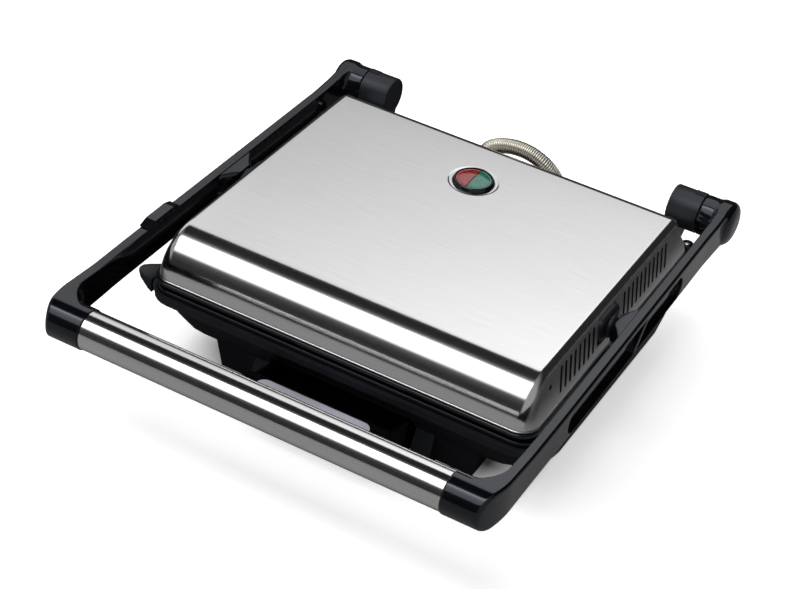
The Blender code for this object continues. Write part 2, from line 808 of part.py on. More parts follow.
def slot_cutter():
    """All cooling slots of both side panels as one cutter of separate bars."""
    vertices = []
    faces = []
    for start, count in SLOT_GROUPS:
        for i in range(count):
            y = start + SLOT_PITCH * i
            base = len(vertices)
            for x in (-170.0, 170.0):
                for dy, z in ((0.0, SLOT_LOW), (SLOT_WIDTH, SLOT_LOW), (SLOT_WIDTH, SLOT_HIGH), (0.0, SLOT_HIGH)):
                    vertices.append((x, y + dy, z))
            for quad in ((0, 1, 2, 3), (7, 6, 5, 4), (0, 4, 5, 1), (1, 5, 6, 2), (2, 6, 7, 3), (3, 7, 4, 0)):
                faces.append(tuple(base + k for k in quad))
    return new_object("slots", vertices, faces)


def build_lid_frame():
    """Black frame under the cover that carries the upper plate."""
    return frame_ring("lid_frame", FRAME, plate_window(0.5), FRAME_LOW, FRAME_HIGH, "gloss_black", 16.0)


def build_lid_hem():
    """Bright folded hem between the cover and its frame."""
    inner = (HEM[0] - 7.0, HEM[1] + 7.0, HEM[2] - 7.0)
    return frame_ring("lid_hem", HEM, inner, HEM_LOW, HEM_HIGH, "steel", 15.0)


def build_pivot_boss(name, side):
    """Pivot housing that fills the notch and reaches out to the arm."""
    outline = [(2.0, 89.8), (39.0, 89.8), (34.4, 110.0), (6.6, 110.0)]
    near, far = side_span(side, 144.0, 154.0)
    boss = prism(name, outline, near, far, "X", "matte_black")
    center = (PIVOT_Y, PIVOT_Z + 1.0)
    hub_near, hub_far = side_span(side, 152.0, 167.8)
    combine(boss, disc_stack("hub", center, ((8.6, hub_near), (8.2, hub_far)), "X", 24), "UNION")
    bore_near, bore_far = side_span(side, 150.0, 180.0)
    center = (PIVOT_Y, PIVOT_Z)
    bore = disc_stack("bore", center, ((PIN_R + GAP, bore_near), (PIN_R + GAP, bore_far)), "X", 20)
    combine(boss, bore, "DIFFERENCE")
    smooth(boss, 35.0)
    return boss


def build_pivot_pin(name, side):
    """Steel pin from the arm into the lid pivot."""
    near, far = side_span(side, 150.6, 171.6)
    profile = ((PIN_R - 0.6, near), (PIN_R, near + 0.6), (PIN_R, far - 0.6), (PIN_R - 0.6, far))
    return disc_stack(name, (PIVOT_Y, PIVOT_Z), profile, "X", 20, "bright_metal")


def build_bezel():
    """Black ring around the two lamp lenses."""
    inner = LENS_R + GAP
    profile = (
        (BEZEL_R, 112.0), (BEZEL_R, 116.8), (BEZEL_R - 0.5, 117.8), (inner + 0.9, 119.2),
        (inner + 0.2, 119.2), (inner, 118.9), (inner, 112.0),
    )
    return pipe_ring("indicator_bezel", (LAMP_X, LAMP_Y), profile, "Z", 36, "gloss_black")


def build_lens(name, side, key):
    """Half-round lens, gently domed, on one side of the dividing line."""
    split = 0.35
    rings = []
    for radius, z in ((LENS_R, 112.4), (LENS_R, 118.6), (LENS_R * 0.72, 119.5), (LENS_R * 0.36, 119.9)):
        ring = []
        for step in range(17):
            angle = math.radians(-90.0 + 180.0 * step / 16)
            x = LAMP_X + side * (split + (radius - split) * math.cos(angle))
            ring.append((x, LAMP_Y + (radius - split) * math.sin(angle), z))
        rings.append(ring)
    vertices, faces = loft(rings)
    return new_object(name, vertices, faces, key, 40.0)


def build_lamp(name, x):
    """Neon lamp under a lens."""
    profile = ((2.6, 104.0), (2.6, 110.4), (1.4, 111.6))
    return disc_stack(name, (x, LAMP_Y), profile, "Z", 12, "ceramic")


# ---------------------------------------------------------------- tray and lock

TRAY_OUTLINE = (
    (-14.0, 6.0), (-108.0, 6.0), (-144.0, 45.0), (-144.0, 49.0), (-142.0, 50.6),
    (-124.5, 50.6), (-118.0, 44.0), (-95.0, 38.4), (-14.0, 38.4),
)
TRAY_CAVITY = ((-17.0, 9.0), (-106.0, 9.0), (-121.5, 26.0), (-121.5, 60.0), (-17.0, 60.0))


def build_drip_tray():
    """Drip tray with a grip shelf at the front."""
    outline = list(TRAY_OUTLINE)
    tray = prism("drip_tray", outline, -TRAY_X, TRAY_X, "X", "gloss_black")
    inner = TRAY_X - TRAY_WALL
    combine(tray, prism("cavity", list(TRAY_CAVITY), -inner, inner, "X"), "DIFFERENCE")
    rings = [rounded_ring(SHELF_X, -150.0, -124.5 - 0.6, 8.0, z) for z in (50.0, 52.0)]
    vertices, faces = loft(rings)
    combine(tray, new_object("panel", vertices, faces), "DIFFERENCE")
    smooth(tray, 32.0)
    return tray


LOCK_OUTLINE = (
    (-93.0, 108.2), (-92.4, 109.4), (-85.0, 111.8), (-62.0, 111.8), (-55.0, 109.8), (-53.0, 108.4),
)


def build_lock_slider():
    """Sliding lock on top of the left arm."""
    lock = prism("lock_slider", list(LOCK_OUTLINE), -177.2, -168.9, "X", "gloss_black")
    smooth(lock, 25.0)
    return lock


# ---------------------------------------------------------------- assembly

def make_body(name, origin):
    """Empty that marks the axis of a moving group."""
    empty = bpy.data.objects.new(name, None)
    empty.location = Vector(origin) * MM
    bpy.context.collection.objects.link(empty)
    bpy.context.view_layer.update()
    return empty


def attach(pieces, body):
    """Parent pieces to the empty of their moving group."""
    for piece in pieces:
        piece.parent = body
        piece.matrix_parent_inverse = body.matrix_world.inverted()


def build_base_pieces():
    """Everything that stays on the table."""
    pieces = [
        build_base_shell(), build_base_rim(), build_cord_gland(), build_heat_shield(),
        build_thermostat(), build_latch_catch(), build_conduit(),
        ribbed_plate("lower_plate", 62.0, 66.0, 69.6), heating_rod("lower_element", 58.4),
    ]
    pieces += build_feet()
    for label, side in (("left", -1.0), ("right", 1.0)):
        pieces.append(build_hinge_barrel("hinge_barrel_" + label, side))
        pieces.append(build_hinge_pin("hinge_pin_" + label, side))
    return pieces


def build_arm_pieces():
    """Arm frame with the handle."""
    pieces = [build_handle_tube()]
    for label, side in (("left", -1.0), ("right", 1.0)):
        pieces.append(build_arm("arm_" + label, side))
        pieces.append(build_pivot_pin("pivot_pin_" + label, side))
    return pieces


def build_lid_pieces():
    """Floating lid."""
    pieces = [
        build_lid_cover(), build_lid_hem(), build_lid_frame(), build_bezel(),
        ribbed_plate("upper_plate", 83.6, 79.8, 77.2), heating_rod("upper_element", 87.2),
        build_lens("lens_red", -1.0, "red_lens"), build_lens("lens_green", 1.0, "green_lens"),
        build_lamp("lamp_red", LAMP_X - 6.0), build_lamp("lamp_green", LAMP_X + 6.0),
    ]
    for label, side in (("left", -1.0), ("right", 1.0)):
        pieces.append(build_pivot_boss("pivot_boss_" + label, side))
    return pieces


def build():
    """Build the whole press."""
    clear_scene()
    base = make_body("base_axis", (0.0, 0.0, 0.0))
    arms = make_body("arm_axis", (0.0, HINGE_Y, HINGE_Z))
    lid = make_body("lid_axis", (0.0, PIVOT_Y, PIVOT_Z))
    tray = make_body("tray_axis", (0.0, BAY_BACK, BAY_TOP))
    lock = make_body("lock_axis", (-173.0, -73.0, 108.0))
    attach(build_base_pieces(), base)
    attach(build_arm_pieces(), arms)
    attach(build_lid_pieces(), lid)
    attach([build_drip_tray()], tray)
    attach([build_lock_slider()], lock)
    attach([arms, tray], base)
    attach([lid, lock], arms)


build()
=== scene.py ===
"""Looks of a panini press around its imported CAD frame: studio, materials and detailed pieces."""

import json
import math

import bmesh
import bpy
import numpy as np
from mathutils import Matrix, Vector


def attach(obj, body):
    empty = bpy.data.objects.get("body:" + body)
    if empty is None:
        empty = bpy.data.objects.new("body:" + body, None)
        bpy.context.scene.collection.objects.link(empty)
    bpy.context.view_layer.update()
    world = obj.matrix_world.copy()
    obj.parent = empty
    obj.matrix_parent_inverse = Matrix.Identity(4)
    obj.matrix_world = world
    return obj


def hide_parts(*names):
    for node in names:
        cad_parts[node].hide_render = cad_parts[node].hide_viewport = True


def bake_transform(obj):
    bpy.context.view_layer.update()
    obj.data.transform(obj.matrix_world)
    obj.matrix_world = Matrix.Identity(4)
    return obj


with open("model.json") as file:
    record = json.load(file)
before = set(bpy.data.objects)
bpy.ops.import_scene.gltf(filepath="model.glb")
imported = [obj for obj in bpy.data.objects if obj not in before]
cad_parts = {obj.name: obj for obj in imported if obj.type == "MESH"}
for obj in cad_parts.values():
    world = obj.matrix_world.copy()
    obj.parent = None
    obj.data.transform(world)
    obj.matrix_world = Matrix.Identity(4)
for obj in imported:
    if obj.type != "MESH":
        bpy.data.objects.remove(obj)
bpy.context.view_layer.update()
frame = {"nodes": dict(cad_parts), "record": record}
NODES = frame["nodes"]
MM = 0.001

# ---------------- camera

CAM_TURN = 25.48
CAM_HEIGHT = 36.56
CAM_ROLL = 6.70
CAM_TARGET = (-3.1, -4.2, 70.0)
CAM_DISTANCE = 1.5277
SENSOR = 36.0
FOCAL_PIXELS = 2047.13
IMAGE_WIDTH = 800.0


def make_camera():
    """Camera at the viewing angle of the product shot."""
    turn, height, roll = (math.radians(v) for v in (CAM_TURN, CAM_HEIGHT, CAM_ROLL))
    back = Vector((
        math.sin(turn) * math.cos(height),
        -math.cos(turn) * math.cos(height),
        math.sin(height),
    ))
    right = Vector((math.cos(turn), math.sin(turn), 0.0))
    up = back.cross(right)
    axis_x = math.cos(roll) * right + math.sin(roll) * up
    axis_y = -math.sin(roll) * right + math.cos(roll) * up
    matrix = Matrix((axis_x, axis_y, back)).transposed().to_4x4()
    matrix.translation = Vector(CAM_TARGET) * MM + back * CAM_DISTANCE
    data = bpy.data.cameras.new("camera")
    data.sensor_width = SENSOR
    data.lens = FOCAL_PIXELS * SENSOR / IMAGE_WIDTH
    data.clip_start = 0.05
    data.clip_end = 50.0
    camera = bpy.data.objects.new("camera", data)
    camera.matrix_world = matrix
    bpy.context.scene.collection.objects.link(camera)
    bpy.context.scene.camera = camera


# ---------------- node graphs

class Graph:
    """Small helper around one node tree."""

    def __init__(self, tree):
        self.tree = tree
        tree.nodes.clear()

    def node(self, kind, inputs=None, **settings):
        """Add a node; inputs may be values or sockets to link from."""
        node = self.tree.nodes.new(kind)
        for key, value in settings.items():
            setattr(node, key, value)
        for key, value in (inputs or {}).items():
            socket = node.inputs[key]
            if isinstance(value, bpy.types.NodeSocket):
                self.tree.links.new(value, socket)
            else:
                socket.default_value = value
        return node

    def math(self, operation, a, b=0.0):
        """One math node."""
        return self.node("ShaderNodeMath", {0: a, 1: b}, operation=operation).outputs[0]

    def ramp(self, factor, stops):
        """Colour ramp from (position, colour) pairs."""
        node = self.node("ShaderNodeValToRGB", {"Fac": factor})
        ramp = node.color_ramp
        while len(ramp.elements) < len(stops):
            ramp.elements.new(0.5)
        for element, (position, color) in zip(ramp.elements, stops):
            element.position = position
            if isinstance(color, float):
                color = (color, color, color)
            element.color = (*color, 1.0)
        return node.outputs["Color"]

    def surface(self, shader, output="ShaderNodeOutputMaterial"):
        """Send a shader to the output."""
        self.node(output, {"Surface": shader.outputs[0]})

    def mapped(self, scale, rotation=(0.0, 0.0, 0.0)):
        """Object coordinates, scaled per axis."""
        coords = self.node("ShaderNodeTexCoord").outputs["Object"]
        inputs = {"Vector": coords, "Scale": scale, "Rotation": rotation}
        return self.node("ShaderNodeMapping", inputs).outputs[0]

    def axes(self):
        """Object coordinates as three values."""
        coords = self.node("ShaderNodeTexCoord").outputs["Object"]
        return self.node("ShaderNodeSeparateXYZ", {0: coords}).outputs

    def noise(self, vector, detail=3.0, roughness=0.55):
        """Noise value at coordinates that are already scaled."""
        return self.node("ShaderNodeTexNoise", {
            "Vector": vector, "Scale": 1.0, "Detail": detail, "Roughness": roughness,
        }).outputs[0]

    def even_noise(self, scale, detail=3.0, roughness=0.55):
        """Noise value with one scale on all axes."""
        return self.noise(self.mapped((scale, scale, scale)), detail, roughness)

    def span(self, value, low, high, from_low=0.0, from_high=1.0):
        """Map a value to a new range."""
        return self.node("ShaderNodeMapRange", {
            0: value, 1: from_low, 2: from_high, 3: low, 4: high,
        }).outputs[0]

    def mix(self, factor, a, b):
        """Mix two colours."""
        return self.node("ShaderNodeMix", {0: factor, 6: a, 7: b}, data_type="RGBA").outputs[2]

    def bump(self, height, strength, distance, normal=None):
        """Bump from a height value."""
        inputs = {"Height": height, "Strength": strength, "Distance": distance}
        if normal is not None:
            inputs["Normal"] = normal
        return self.node("ShaderNodeBump", inputs).outputs[0]


def rgba(color, share=1.0):
    """Four numbers from three, each scaled by a share."""
    return (color[0] * share, color[1] * share, color[2] * share, 1.0)


def principled(name, graph_of, **constants):
    """Material with a Principled shader whose linked inputs come from graph_of."""
    material = bpy.data.materials.new(name)
    material.use_nodes = True
    graph = Graph(material.node_tree)
    graph.surface(graph.node("ShaderNodeBsdfPrincipled", {**constants, **graph_of(graph)}))
    return material


EDGE_START = 0.56
EDGE_FULL = 0.7


def edge_mask(graph):
    """Bright along convex edges."""
    point = graph.node("ShaderNodeNewGeometry").outputs["Pointiness"]
    return graph.span(point, 0.0, 1.0, EDGE_START, EDGE_FULL)


RUBBED_STEEL = (0.8, 0.8, 0.79)
STREAK_GRAIN = 2600.0
STREAK_STRETCH = 90.0
# Added roughness from none to full, then the two half-widths in metres.
SIDE_DULLING = (0.0, 0.42, 0.1485, 0.1505)


def brushed_steel(name, color, rough, sides=False):
    """Steel brushed along X, with soft clouding; sides=True makes the side panels duller."""
    scale = (STREAK_GRAIN / STREAK_STRETCH, STREAK_GRAIN, STREAK_GRAIN)

    def build(graph):
        lines = graph.noise(graph.mapped(scale), 4.0, 0.6)
        wide = graph.noise(graph.mapped([v * 0.18 for v in scale]), 2.0)
        cloud = graph.even_noise(9.0, 3.0)
        dark = rgba(color, 0.90)
        light = rgba([min(c * 1.07, 1.0) for c in color])
        base = graph.mix(graph.span(lines, 0.0, 1.0, 0.25, 0.75), dark, light)
        base = graph.mix(graph.span(cloud, 0.0, 0.25, 0.35, 0.7), base, light)
        rubbed = graph.math("MULTIPLY", edge_mask(graph), 0.3)
        base = graph.mix(rubbed, base, rgba(RUBBED_STEEL))
        rough_value = graph.math("ADD", graph.span(lines, rough - 0.04, rough + 0.06),
                                 graph.span(cloud, -0.02, 0.03))
        if sides:
            reach = graph.math("ABSOLUTE", graph.axes()[0])
            rough_value = graph.math("ADD", rough_value, graph.span(reach, *SIDE_DULLING))
        fine = graph.bump(lines, 0.11, 0.00002)
        normal = graph.bump(wide, 0.05, 0.00005, fine)
        return {"Base Color": base, "Roughness": rough_value, "Normal": normal}

    return principled(name, build, Metallic=1.0)


PLASTIC_TINT = (0.84, 0.89, 1.0, 1.0)


def moulded_plastic(name, color, rough, grain, depth, wear=0.03, spread=0.06, ior=1.46):
    """Moulded plastic: grain of the tool, soft gloss changes, rubbed edges."""

    def build(graph):
        fine = graph.even_noise(grain, 3.0)
        cloud = graph.even_noise(22.0, 4.0)
        scuff = graph.noise(graph.mapped((260.0, 40.0, 260.0), (0.0, 0.0, 0.5)), 5.0)
        dark = rgba(color, 0.8)
        light = rgba(color, 1.25)
        base = graph.mix(graph.span(cloud, 0.0, 1.0, 0.3, 0.7), dark, light)
        worn = graph.math("MULTIPLY", edge_mask(graph), graph.span(scuff, 0.2, 1.0, 0.4, 0.6))
        base = graph.mix(worn, base, rgba([c + wear for c in color]))
        value = graph.math("ADD", graph.span(cloud, rough - spread * 0.5, rough + spread),
                           graph.span(scuff, 0.0, spread, 0.5, 0.8))
        normal = graph.bump(fine, 0.35, depth)
        return {"Base Color": base, "Roughness": value, "Normal": normal}

    return principled(name, build, **{"IOR": ior, "Specular Tint": PLASTIC_TINT})


def plain_metal(name, color, rough, grain=900.0, depth=0.00001):
    """Plated or cast metal with mottled gloss."""

    def build(graph):
        fine = graph.even_noise(grain, 4.0)
        cloud = graph.even_noise(70.0, 3.0)
        dark = rgba(color, 0.82)
        base = graph.mix(graph.span(cloud, 0.0, 1.0, 0.3, 0.7), dark, rgba(color))
        value = graph.span(fine, rough - 0.05, rough + 0.07)
        value = graph.math("ADD", value, graph.span(cloud, -0.03, 0.05))
        return {"Base Color": base, "Roughness": value, "Normal": graph.bump(fine, 0.4, depth)}

    return principled(name, build, Metallic=1.0)


def coated_plate(name):
    """Dark non-stick coating with speckle."""

    def build(graph):
        speck = graph.even_noise(1500.0, 5.0, 0.7)
        cloud = graph.even_noise(40.0, 3.0)
        base = graph.mix(graph.span(speck, 0.0, 1.0, 0.55, 0.75), rgba((0.018, 0.018, 0.019)),
                         rgba((0.07, 0.07, 0.072)))
        value = graph.math("ADD", graph.span(speck, 0.34, 0.5), graph.span(cloud, -0.04, 0.06))
        return {"Base Color": base, "Roughness": value, "Normal": graph.bump(speck, 0.4, 0.00008)}

    return principled(name, build)


def lens_plastic(name, dark, light):
    """Coloured lens with a fine prism grid under a smooth coat."""

    def build(graph):
        cells = graph.mapped((420.0, 420.0, 420.0))
        grid = graph.node("ShaderNodeTexVoronoi", {"Vector": cells, "Scale": 1.0}).outputs["Distance"]
        cloud = graph.even_noise(160.0, 3.0)
        base = graph.mix(graph.span(grid, 0.0, 1.0, 0.1, 0.8), rgba(light), rgba(dark))
        base = graph.mix(graph.span(cloud, 0.0, 0.5, 0.35, 0.7), base, rgba(light))
        return {
            "Base Color": base,
            "Roughness": graph.span(cloud, 0.08, 0.2),
            "Normal": graph.bump(grid, 0.3, 0.00012),
        }

    return principled(name, build, **{"Coat Weight": 0.6, "Coat Roughness": 0.05})


MATERIALS = {
    "housing": moulded_plastic(
        "housing", (0.0105, 0.011, 0.0135), 0.40, 2400.0, 0.00005, wear=0.012, spread=0.07, ior=1.40),
    "gloss": moulded_plastic(
        "gloss", (0.0028, 0.003, 0.0042), 0.085, 700.0, 0.000002, wear=0.008, spread=0.03),
    "steel": brushed_steel("steel", (0.585, 0.588, 0.582), 0.115),
    "lid_steel": brushed_steel("lid_steel", (0.585, 0.588, 0.585), 0.115, sides=True),
    "plate": coated_plate("plate"),
    "bright_metal": plain_metal("bright_metal", (0.72, 0.72, 0.70), 0.24),
    "conduit": plain_metal("conduit", (0.60, 0.57, 0.50), 0.26, 700.0),
    "dull_metal": plain_metal("dull_metal", (0.45, 0.45, 0.46), 0.45, 500.0, 0.00003),
    "ceramic": moulded_plastic("ceramic", (0.72, 0.70, 0.65), 0.55, 1600.0, 0.00005, 0.05),
    "red_lens": lens_plastic("red_lens", (0.15, 0.006, 0.005), (0.30, 0.02, 0.015)),
    "green_lens": lens_plastic("green_lens", (0.006, 0.09, 0.06), (0.015, 0.19, 0.135)),
    "rubber": moulded_plastic("rubber", (0.018, 0.018, 0.018), 0.75, 1800.0, 0.00008, 0.03),
    # Pale lavender grey of the tray sheet: a painted reflection of the soft box on black gloss.
    "panel": moulded_plastic("panel", (0.50, 0.50, 0.57), 0.30, 900.0, 0.00001, 0.05),
}


# ---------------- studio

# Sky: degrees from the front horizon over the top to the back, then brightness.
SKY = (
    (0.0, 0.035), (22.0, 0.04), (34.0, 0.08), (40.0, 0.18), (43.0, 2.0), (58.0, 2.3), (68.0, 3.4),
    (75.0, 6.4), (78.0, 6.4), (81.0, 1.0), (85.0, 0.12), (92.0, 0.02), (118.0, 0.02), (124.0, 0.05),
    (180.0, 0.05),
)
SKY_FILL = 0.46
SKY_BACK = 0.03
PANEL_LOW = (0.50, 0.33)
PANEL_HIGH = (0.17, 0.62)
PANEL_LEFT = -1.6
PANEL_RIGHT = 0.17
PANEL_LEVEL = 1.42
# Stops across the sky from left to right: how much the fill takes the place of the bands.
SIDE_STOPS = ((0.15, 1.0), (0.25, 0.0), (0.53, 0.0), (0.62, 1.0))
# Spans: the two levels, then the two places in metres.
PANEL_ACROSS = (0.78, 1.24, -0.36, 0.06)
PANEL_UP = ((0.0, 0.66), (0.3, 0.86), (0.45, 1.0), (1.0, 1.0))
WHITE = (1.0, 1.0, 1.0, 1.0)


def make_world():
    """Soft box in front as a band of the sky, a soft fill from both sides, white where seen directly."""
    world = bpy.data.worlds.new("studio")
    bpy.context.scene.world = world
    world.use_nodes = True
    graph = Graph(world.node_tree)
    direction = graph.node("ShaderNodeTexCoord").outputs["Generated"]
    split = graph.node("ShaderNodeSeparateXYZ", {0: direction})
    front = graph.math("MULTIPLY", split.outputs[1], -1.0)
    height = graph.math("MAXIMUM", split.outputs[2], 0.0)
    angle = graph.math("ARCTAN2", height, front)
    share = graph.math("DIVIDE", angle, math.pi)
    peak = max(level for _, level in SKY)
    bands = graph.ramp(share, [(a / 180.0, level / peak) for a, level in SKY])
    fill_stops = [(0.0, SKY_FILL / peak), (0.45, SKY_FILL / peak), (0.66, SKY_BACK / peak)]
    fill = graph.ramp(share, fill_stops)
    sides = graph.ramp(graph.span(split.outputs[0], 0.0, 1.0, -1.0, 1.0), SIDE_STOPS)
    tone = graph.mix(sides, bands, fill)
    soft = graph.node("ShaderNodeBackground", {"Color": tone, "Strength": peak})
    plain = graph.node("ShaderNodeBackground", {"Color": WHITE, "Strength": 1.0})
    seen = graph.node("ShaderNodeLightPath").outputs["Is Camera Ray"]
    both = graph.node("ShaderNodeMixShader", {0: seen, 1: soft.outputs[0], 2: plain.outputs[0]})
    graph.surface(both, "ShaderNodeOutputWorld")


def stage_plane(name, corners):
    """Flat stage piece from four corners in metres."""
    mesh = bpy.data.meshes.new(name)
    mesh.from_pydata(corners, [], [(0, 1, 2, 3)])
    plane = bpy.data.objects.new(name, mesh)
    bpy.context.scene.collection.objects.link(plane)
    material = bpy.data.materials.new(name)
    material.use_nodes = True
    mesh.materials.append(material)
    return plane, Graph(material.node_tree)


def make_panel():
    """Soft light panel above and behind the press, brighter to the right."""
    corners = [
        (PANEL_LEFT, *PANEL_LOW), (PANEL_RIGHT, *PANEL_LOW),
        (PANEL_RIGHT, *PANEL_HIGH), (PANEL_LEFT, *PANEL_HIGH),
    ]
    panel, graph = stage_plane("panel_light", corners)
    panel.visible_camera = False
    panel.visible_shadow = False
    geometry = graph.node("ShaderNodeNewGeometry")
    axes = graph.axes()
    across = graph.span(axes[0], *PANEL_ACROSS)
    up = graph.ramp(graph.span(axes[2], 0.0, 1.0, PANEL_LOW[1], PANEL_HIGH[1]), PANEL_UP)
    level = graph.math("MULTIPLY", across, graph.math("MULTIPLY", up, PANEL_LEVEL))
    front = graph.math("SUBTRACT", 1.0, geometry.outputs["Backfacing"])
    glow = graph.node("ShaderNodeEmission", {"Strength": graph.math("MULTIPLY", level, front)})
    clear = graph.node("ShaderNodeBsdfTransparent")
    both = graph.node("ShaderNodeMixShader", {0: front, 1: clear.outputs[0], 2: glow.outputs[0]})
    graph.surface(both)


FLOOR_HALF = 8.0
FLOOR_PALE = (0.96, 0.96, 0.96, 1.0)
# Painted shadow right under the press: a dark tone and almost no glow there. Elsewhere the glow is painted
# light that keeps the press's shadow light.
FLOOR_PAINTED_SHADOW = (0.10, 0.10, 0.10, 1.0)
FLOOR_PAINTED_GLOW = 0.56
PAINTED_SHADOW_GLOW = 0.02
PAINTED_SHADOW_CENTER_Y = 0.03
# FLOOR_FRONT and FLOOR_RIGHT are painted tones for reflections and bounced light: dark under and behind the
# press, paler in front and to the right. The last two spans place the painted shadow.
# Spans: the two values, then the two places in metres.
FLOOR_FRONT = (0.52, 0.07, -0.26, -0.12)
FLOOR_RIGHT = (0.0, 0.46, 0.13, 0.19)
PAINTED_SHADOW_ACROSS = (1.0, 0.0, 0.11, 0.15)
PAINTED_SHADOW_ALONG = (1.0, 0.0, 0.09, 0.14)


def make_floor():
    """Pale floor where the camera sees it, with a glow of painted light that keeps the press's shadow light
    and a painted shadow right under the press; painted tones, dark under and behind the press, for
    reflections and bounced light.
    """
    half = FLOOR_HALF
    corners = [(-half, -half, 0), (half, -half, 0), (half, half, 0), (-half, half, 0)]
    _, graph = stage_plane("floor", corners)
    axes = graph.axes()
    # Painted tones for reflections and bounced light.
    front = graph.span(axes[1], *FLOOR_FRONT)
    right = graph.span(axes[0], *FLOOR_RIGHT)
    front = graph.math("MAXIMUM", front, right)
    seen = graph.node("ShaderNodeLightPath").outputs["Is Camera Ray"]
    tone = graph.node("ShaderNodeCombineColor", {0: front, 1: front, 2: front}).outputs[0]
    # Mask of the painted shadow right under the press.
    across = graph.math("ABSOLUTE", axes[0])
    beside = graph.span(across, *PAINTED_SHADOW_ACROSS)
    along = graph.math("ABSOLUTE", graph.math("SUBTRACT", axes[1], PAINTED_SHADOW_CENTER_Y))
    under = graph.math("MULTIPLY", beside, graph.span(along, *PAINTED_SHADOW_ALONG))
    pale = graph.mix(under, FLOOR_PALE, FLOOR_PAINTED_SHADOW)
    color = graph.mix(seen, tone, pale)
    diffuse = graph.node("ShaderNodeBsdfDiffuse", {"Color": color})
    # Glow only for camera rays: painted light that keeps the shadow light, almost none in the painted
    # shadow.
    strength = graph.math("MULTIPLY", seen, graph.span(under, FLOOR_PAINTED_GLOW, PAINTED_SHADOW_GLOW))
    lift = graph.node("ShaderNodeEmission", {"Strength": strength})
    both = graph.node("ShaderNodeAddShader", {0: diffuse.outputs[0], 1: lift.outputs[0]})
    graph.surface(both)


# ---------------- mesh helpers

SHARP_ANGLE = 35.0


def new_piece(name, vertices, faces, material, smooth_angle=SHARP_ANGLE):
    """Mesh object from millimetre coordinates."""
    mesh = bpy.data.meshes.new(name)
    mesh.from_pydata([Vector(v) * MM for v in vertices], [], faces)
    work = bmesh.new()
    work.from_mesh(mesh)
    bmesh.ops.recalc_face_normals(work, faces=work.faces)
    work.to_mesh(mesh)
    work.free()
    obj = bpy.data.objects.new(name, mesh)
    bpy.context.scene.collection.objects.link(obj)
    if material:
        mesh.materials.append(MATERIALS[material])
    shade(obj, smooth_angle)
    return obj


def shade(obj, angle):
    """Smooth shading with sharp edges above an angle."""
    obj.data.shade_smooth()
    obj.data.set_sharp_from_angle(angle=math.radians(angle))


def apply_modifiers(obj):
    """Bake the modifier stack of a new piece into its mesh."""
    graph = bpy.context.evaluated_depsgraph_get()
    baked = bpy.data.meshes.new_from_object(obj.evaluated_get(graph))
    obj.modifiers.clear()
    obj.data = baked


def combine(obj, other, operation):
    """Exact Boolean of obj with other; other is dropped."""
    modifier = obj.modifiers.new(operation, "BOOLEAN")
    modifier.operation = operation
    modifier.solver = "EXACT"
    if other.data.materials:
        modifier.material_mode = "TRANSFER"
    modifier.object = other
    apply_modifiers(obj)
    bpy.data.objects.remove(other, do_unlink=True)


def loft(rings, closed_loop=False):
    """Skin equal rings; an open run of them gets two end faces."""
    count = len(rings[0])
    vertices = [tuple(point) for ring in rings for point in ring]
    faces = []
    spans = len(rings) if closed_loop else len(rings) - 1
    for level in range(spans):
        low = level * count
        high = (level + 1) % len(rings) * count
        for i in range(count):
            j = (i + 1) % count
            faces.append((low + i, low + j, high + j, high + i))
    if not closed_loop:
        faces.append(tuple(range(count - 1, -1, -1)))
        faces.append(tuple((len(rings) - 1) * count + i for i in range(count)))
    return vertices, faces


def skin(name, rings, material, smooth_angle=SHARP_ANGLE, closed_loop=False):
    """Piece from equal rings."""
    return new_piece(name, *loft(rings, closed_loop), material, smooth_angle)


def skin_all(name, ring_sets, material):
    """One piece from several solids, each from its own rings."""
    vertices = []
    faces = []
    for rings in ring_sets:
        base = len(vertices)
        points, quads = loft(rings)
        vertices += points
        faces += [tuple(base + k for k in quad) for quad in quads]
    return new_piece(name, vertices, faces, material)


def place(a, b, along, axis):
    """Put a 2-D point and a position along X or Z into 3-D."""
    return (along, a, b) if axis == "X" else (a, b, along)


def revolve(name, center, profile, axis, count, material, ring=False):
    """Solid or closed ring of revolution from (radius, position) pairs."""
    rings = []
    for radius, along in profile:
        points = []
        for i in range(count):
            angle = 2.0 * math.pi * i / count
            a = center[0] + radius * math.cos(angle)
            b = center[1] + radius * math.sin(angle)
            points.append(place(a, b, along, axis))
        rings.append(points)
    return skin(name, rings, material, closed_loop=ring)


def prism(name, outline, start, end, axis):
    """Extrude a 2-D outline along an axis."""
    rings = [[place(a, b, along, axis) for a, b in outline] for along in (start, end)]
    return skin(name, rings, None)


def even_normals(obj):
    """Normals weighted by face area, sharp edges kept."""
    normals = obj.modifiers.new("normals", "WEIGHTED_NORMAL")
    normals.keep_sharp = True


def soften(obj, width):
    """Round the edges of a piece without touching its mesh."""
    bevel = obj.modifiers.new("soften", "BEVEL")
    bevel.width = width * MM
    bevel.segments = 2
    bevel.limit_method = "ANGLE"
    bevel.angle_limit = math.radians(SHARP_ANGLE)
    bevel.harden_normals = False
    bevel.use_clamp_overlap = True
    even_normals(obj)


SIDES = ((1.0, "right"), (-1.0, "left"))


def finish_piece(obj, body, slot, *nodes):
    """Ride and replaced nodes of a new piece; the slot argument is not used."""
    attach(obj, body)
    if nodes:
        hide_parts(*nodes)


def arc(center, radius, start, end, steps):
    """Points of an arc in 2-D, angles in degrees."""
    points = []
    for i in range(steps + 1):
        angle = math.radians(start + (end - start) * i / steps)
        points.append((center[0] + radius * math.cos(angle), center[1] + radius * math.sin(angle)))
    return points


def round_rect(low_a, high_a, low_b, high_b, radius, steps=6):
    """Rounded rectangle in 2-D."""
    corners = (
        (high_a - radius, high_b - radius, 0.0), (low_a + radius, high_b - radius, 90.0),
        (low_a + radius, low_b + radius, 180.0), (high_a - radius, low_b + radius, 270.0),
    )
    points = []
    for a, b, start in corners:
        points += arc((a, b), radius, start, start + 90.0, steps)
    return points


# ---------------- conduit

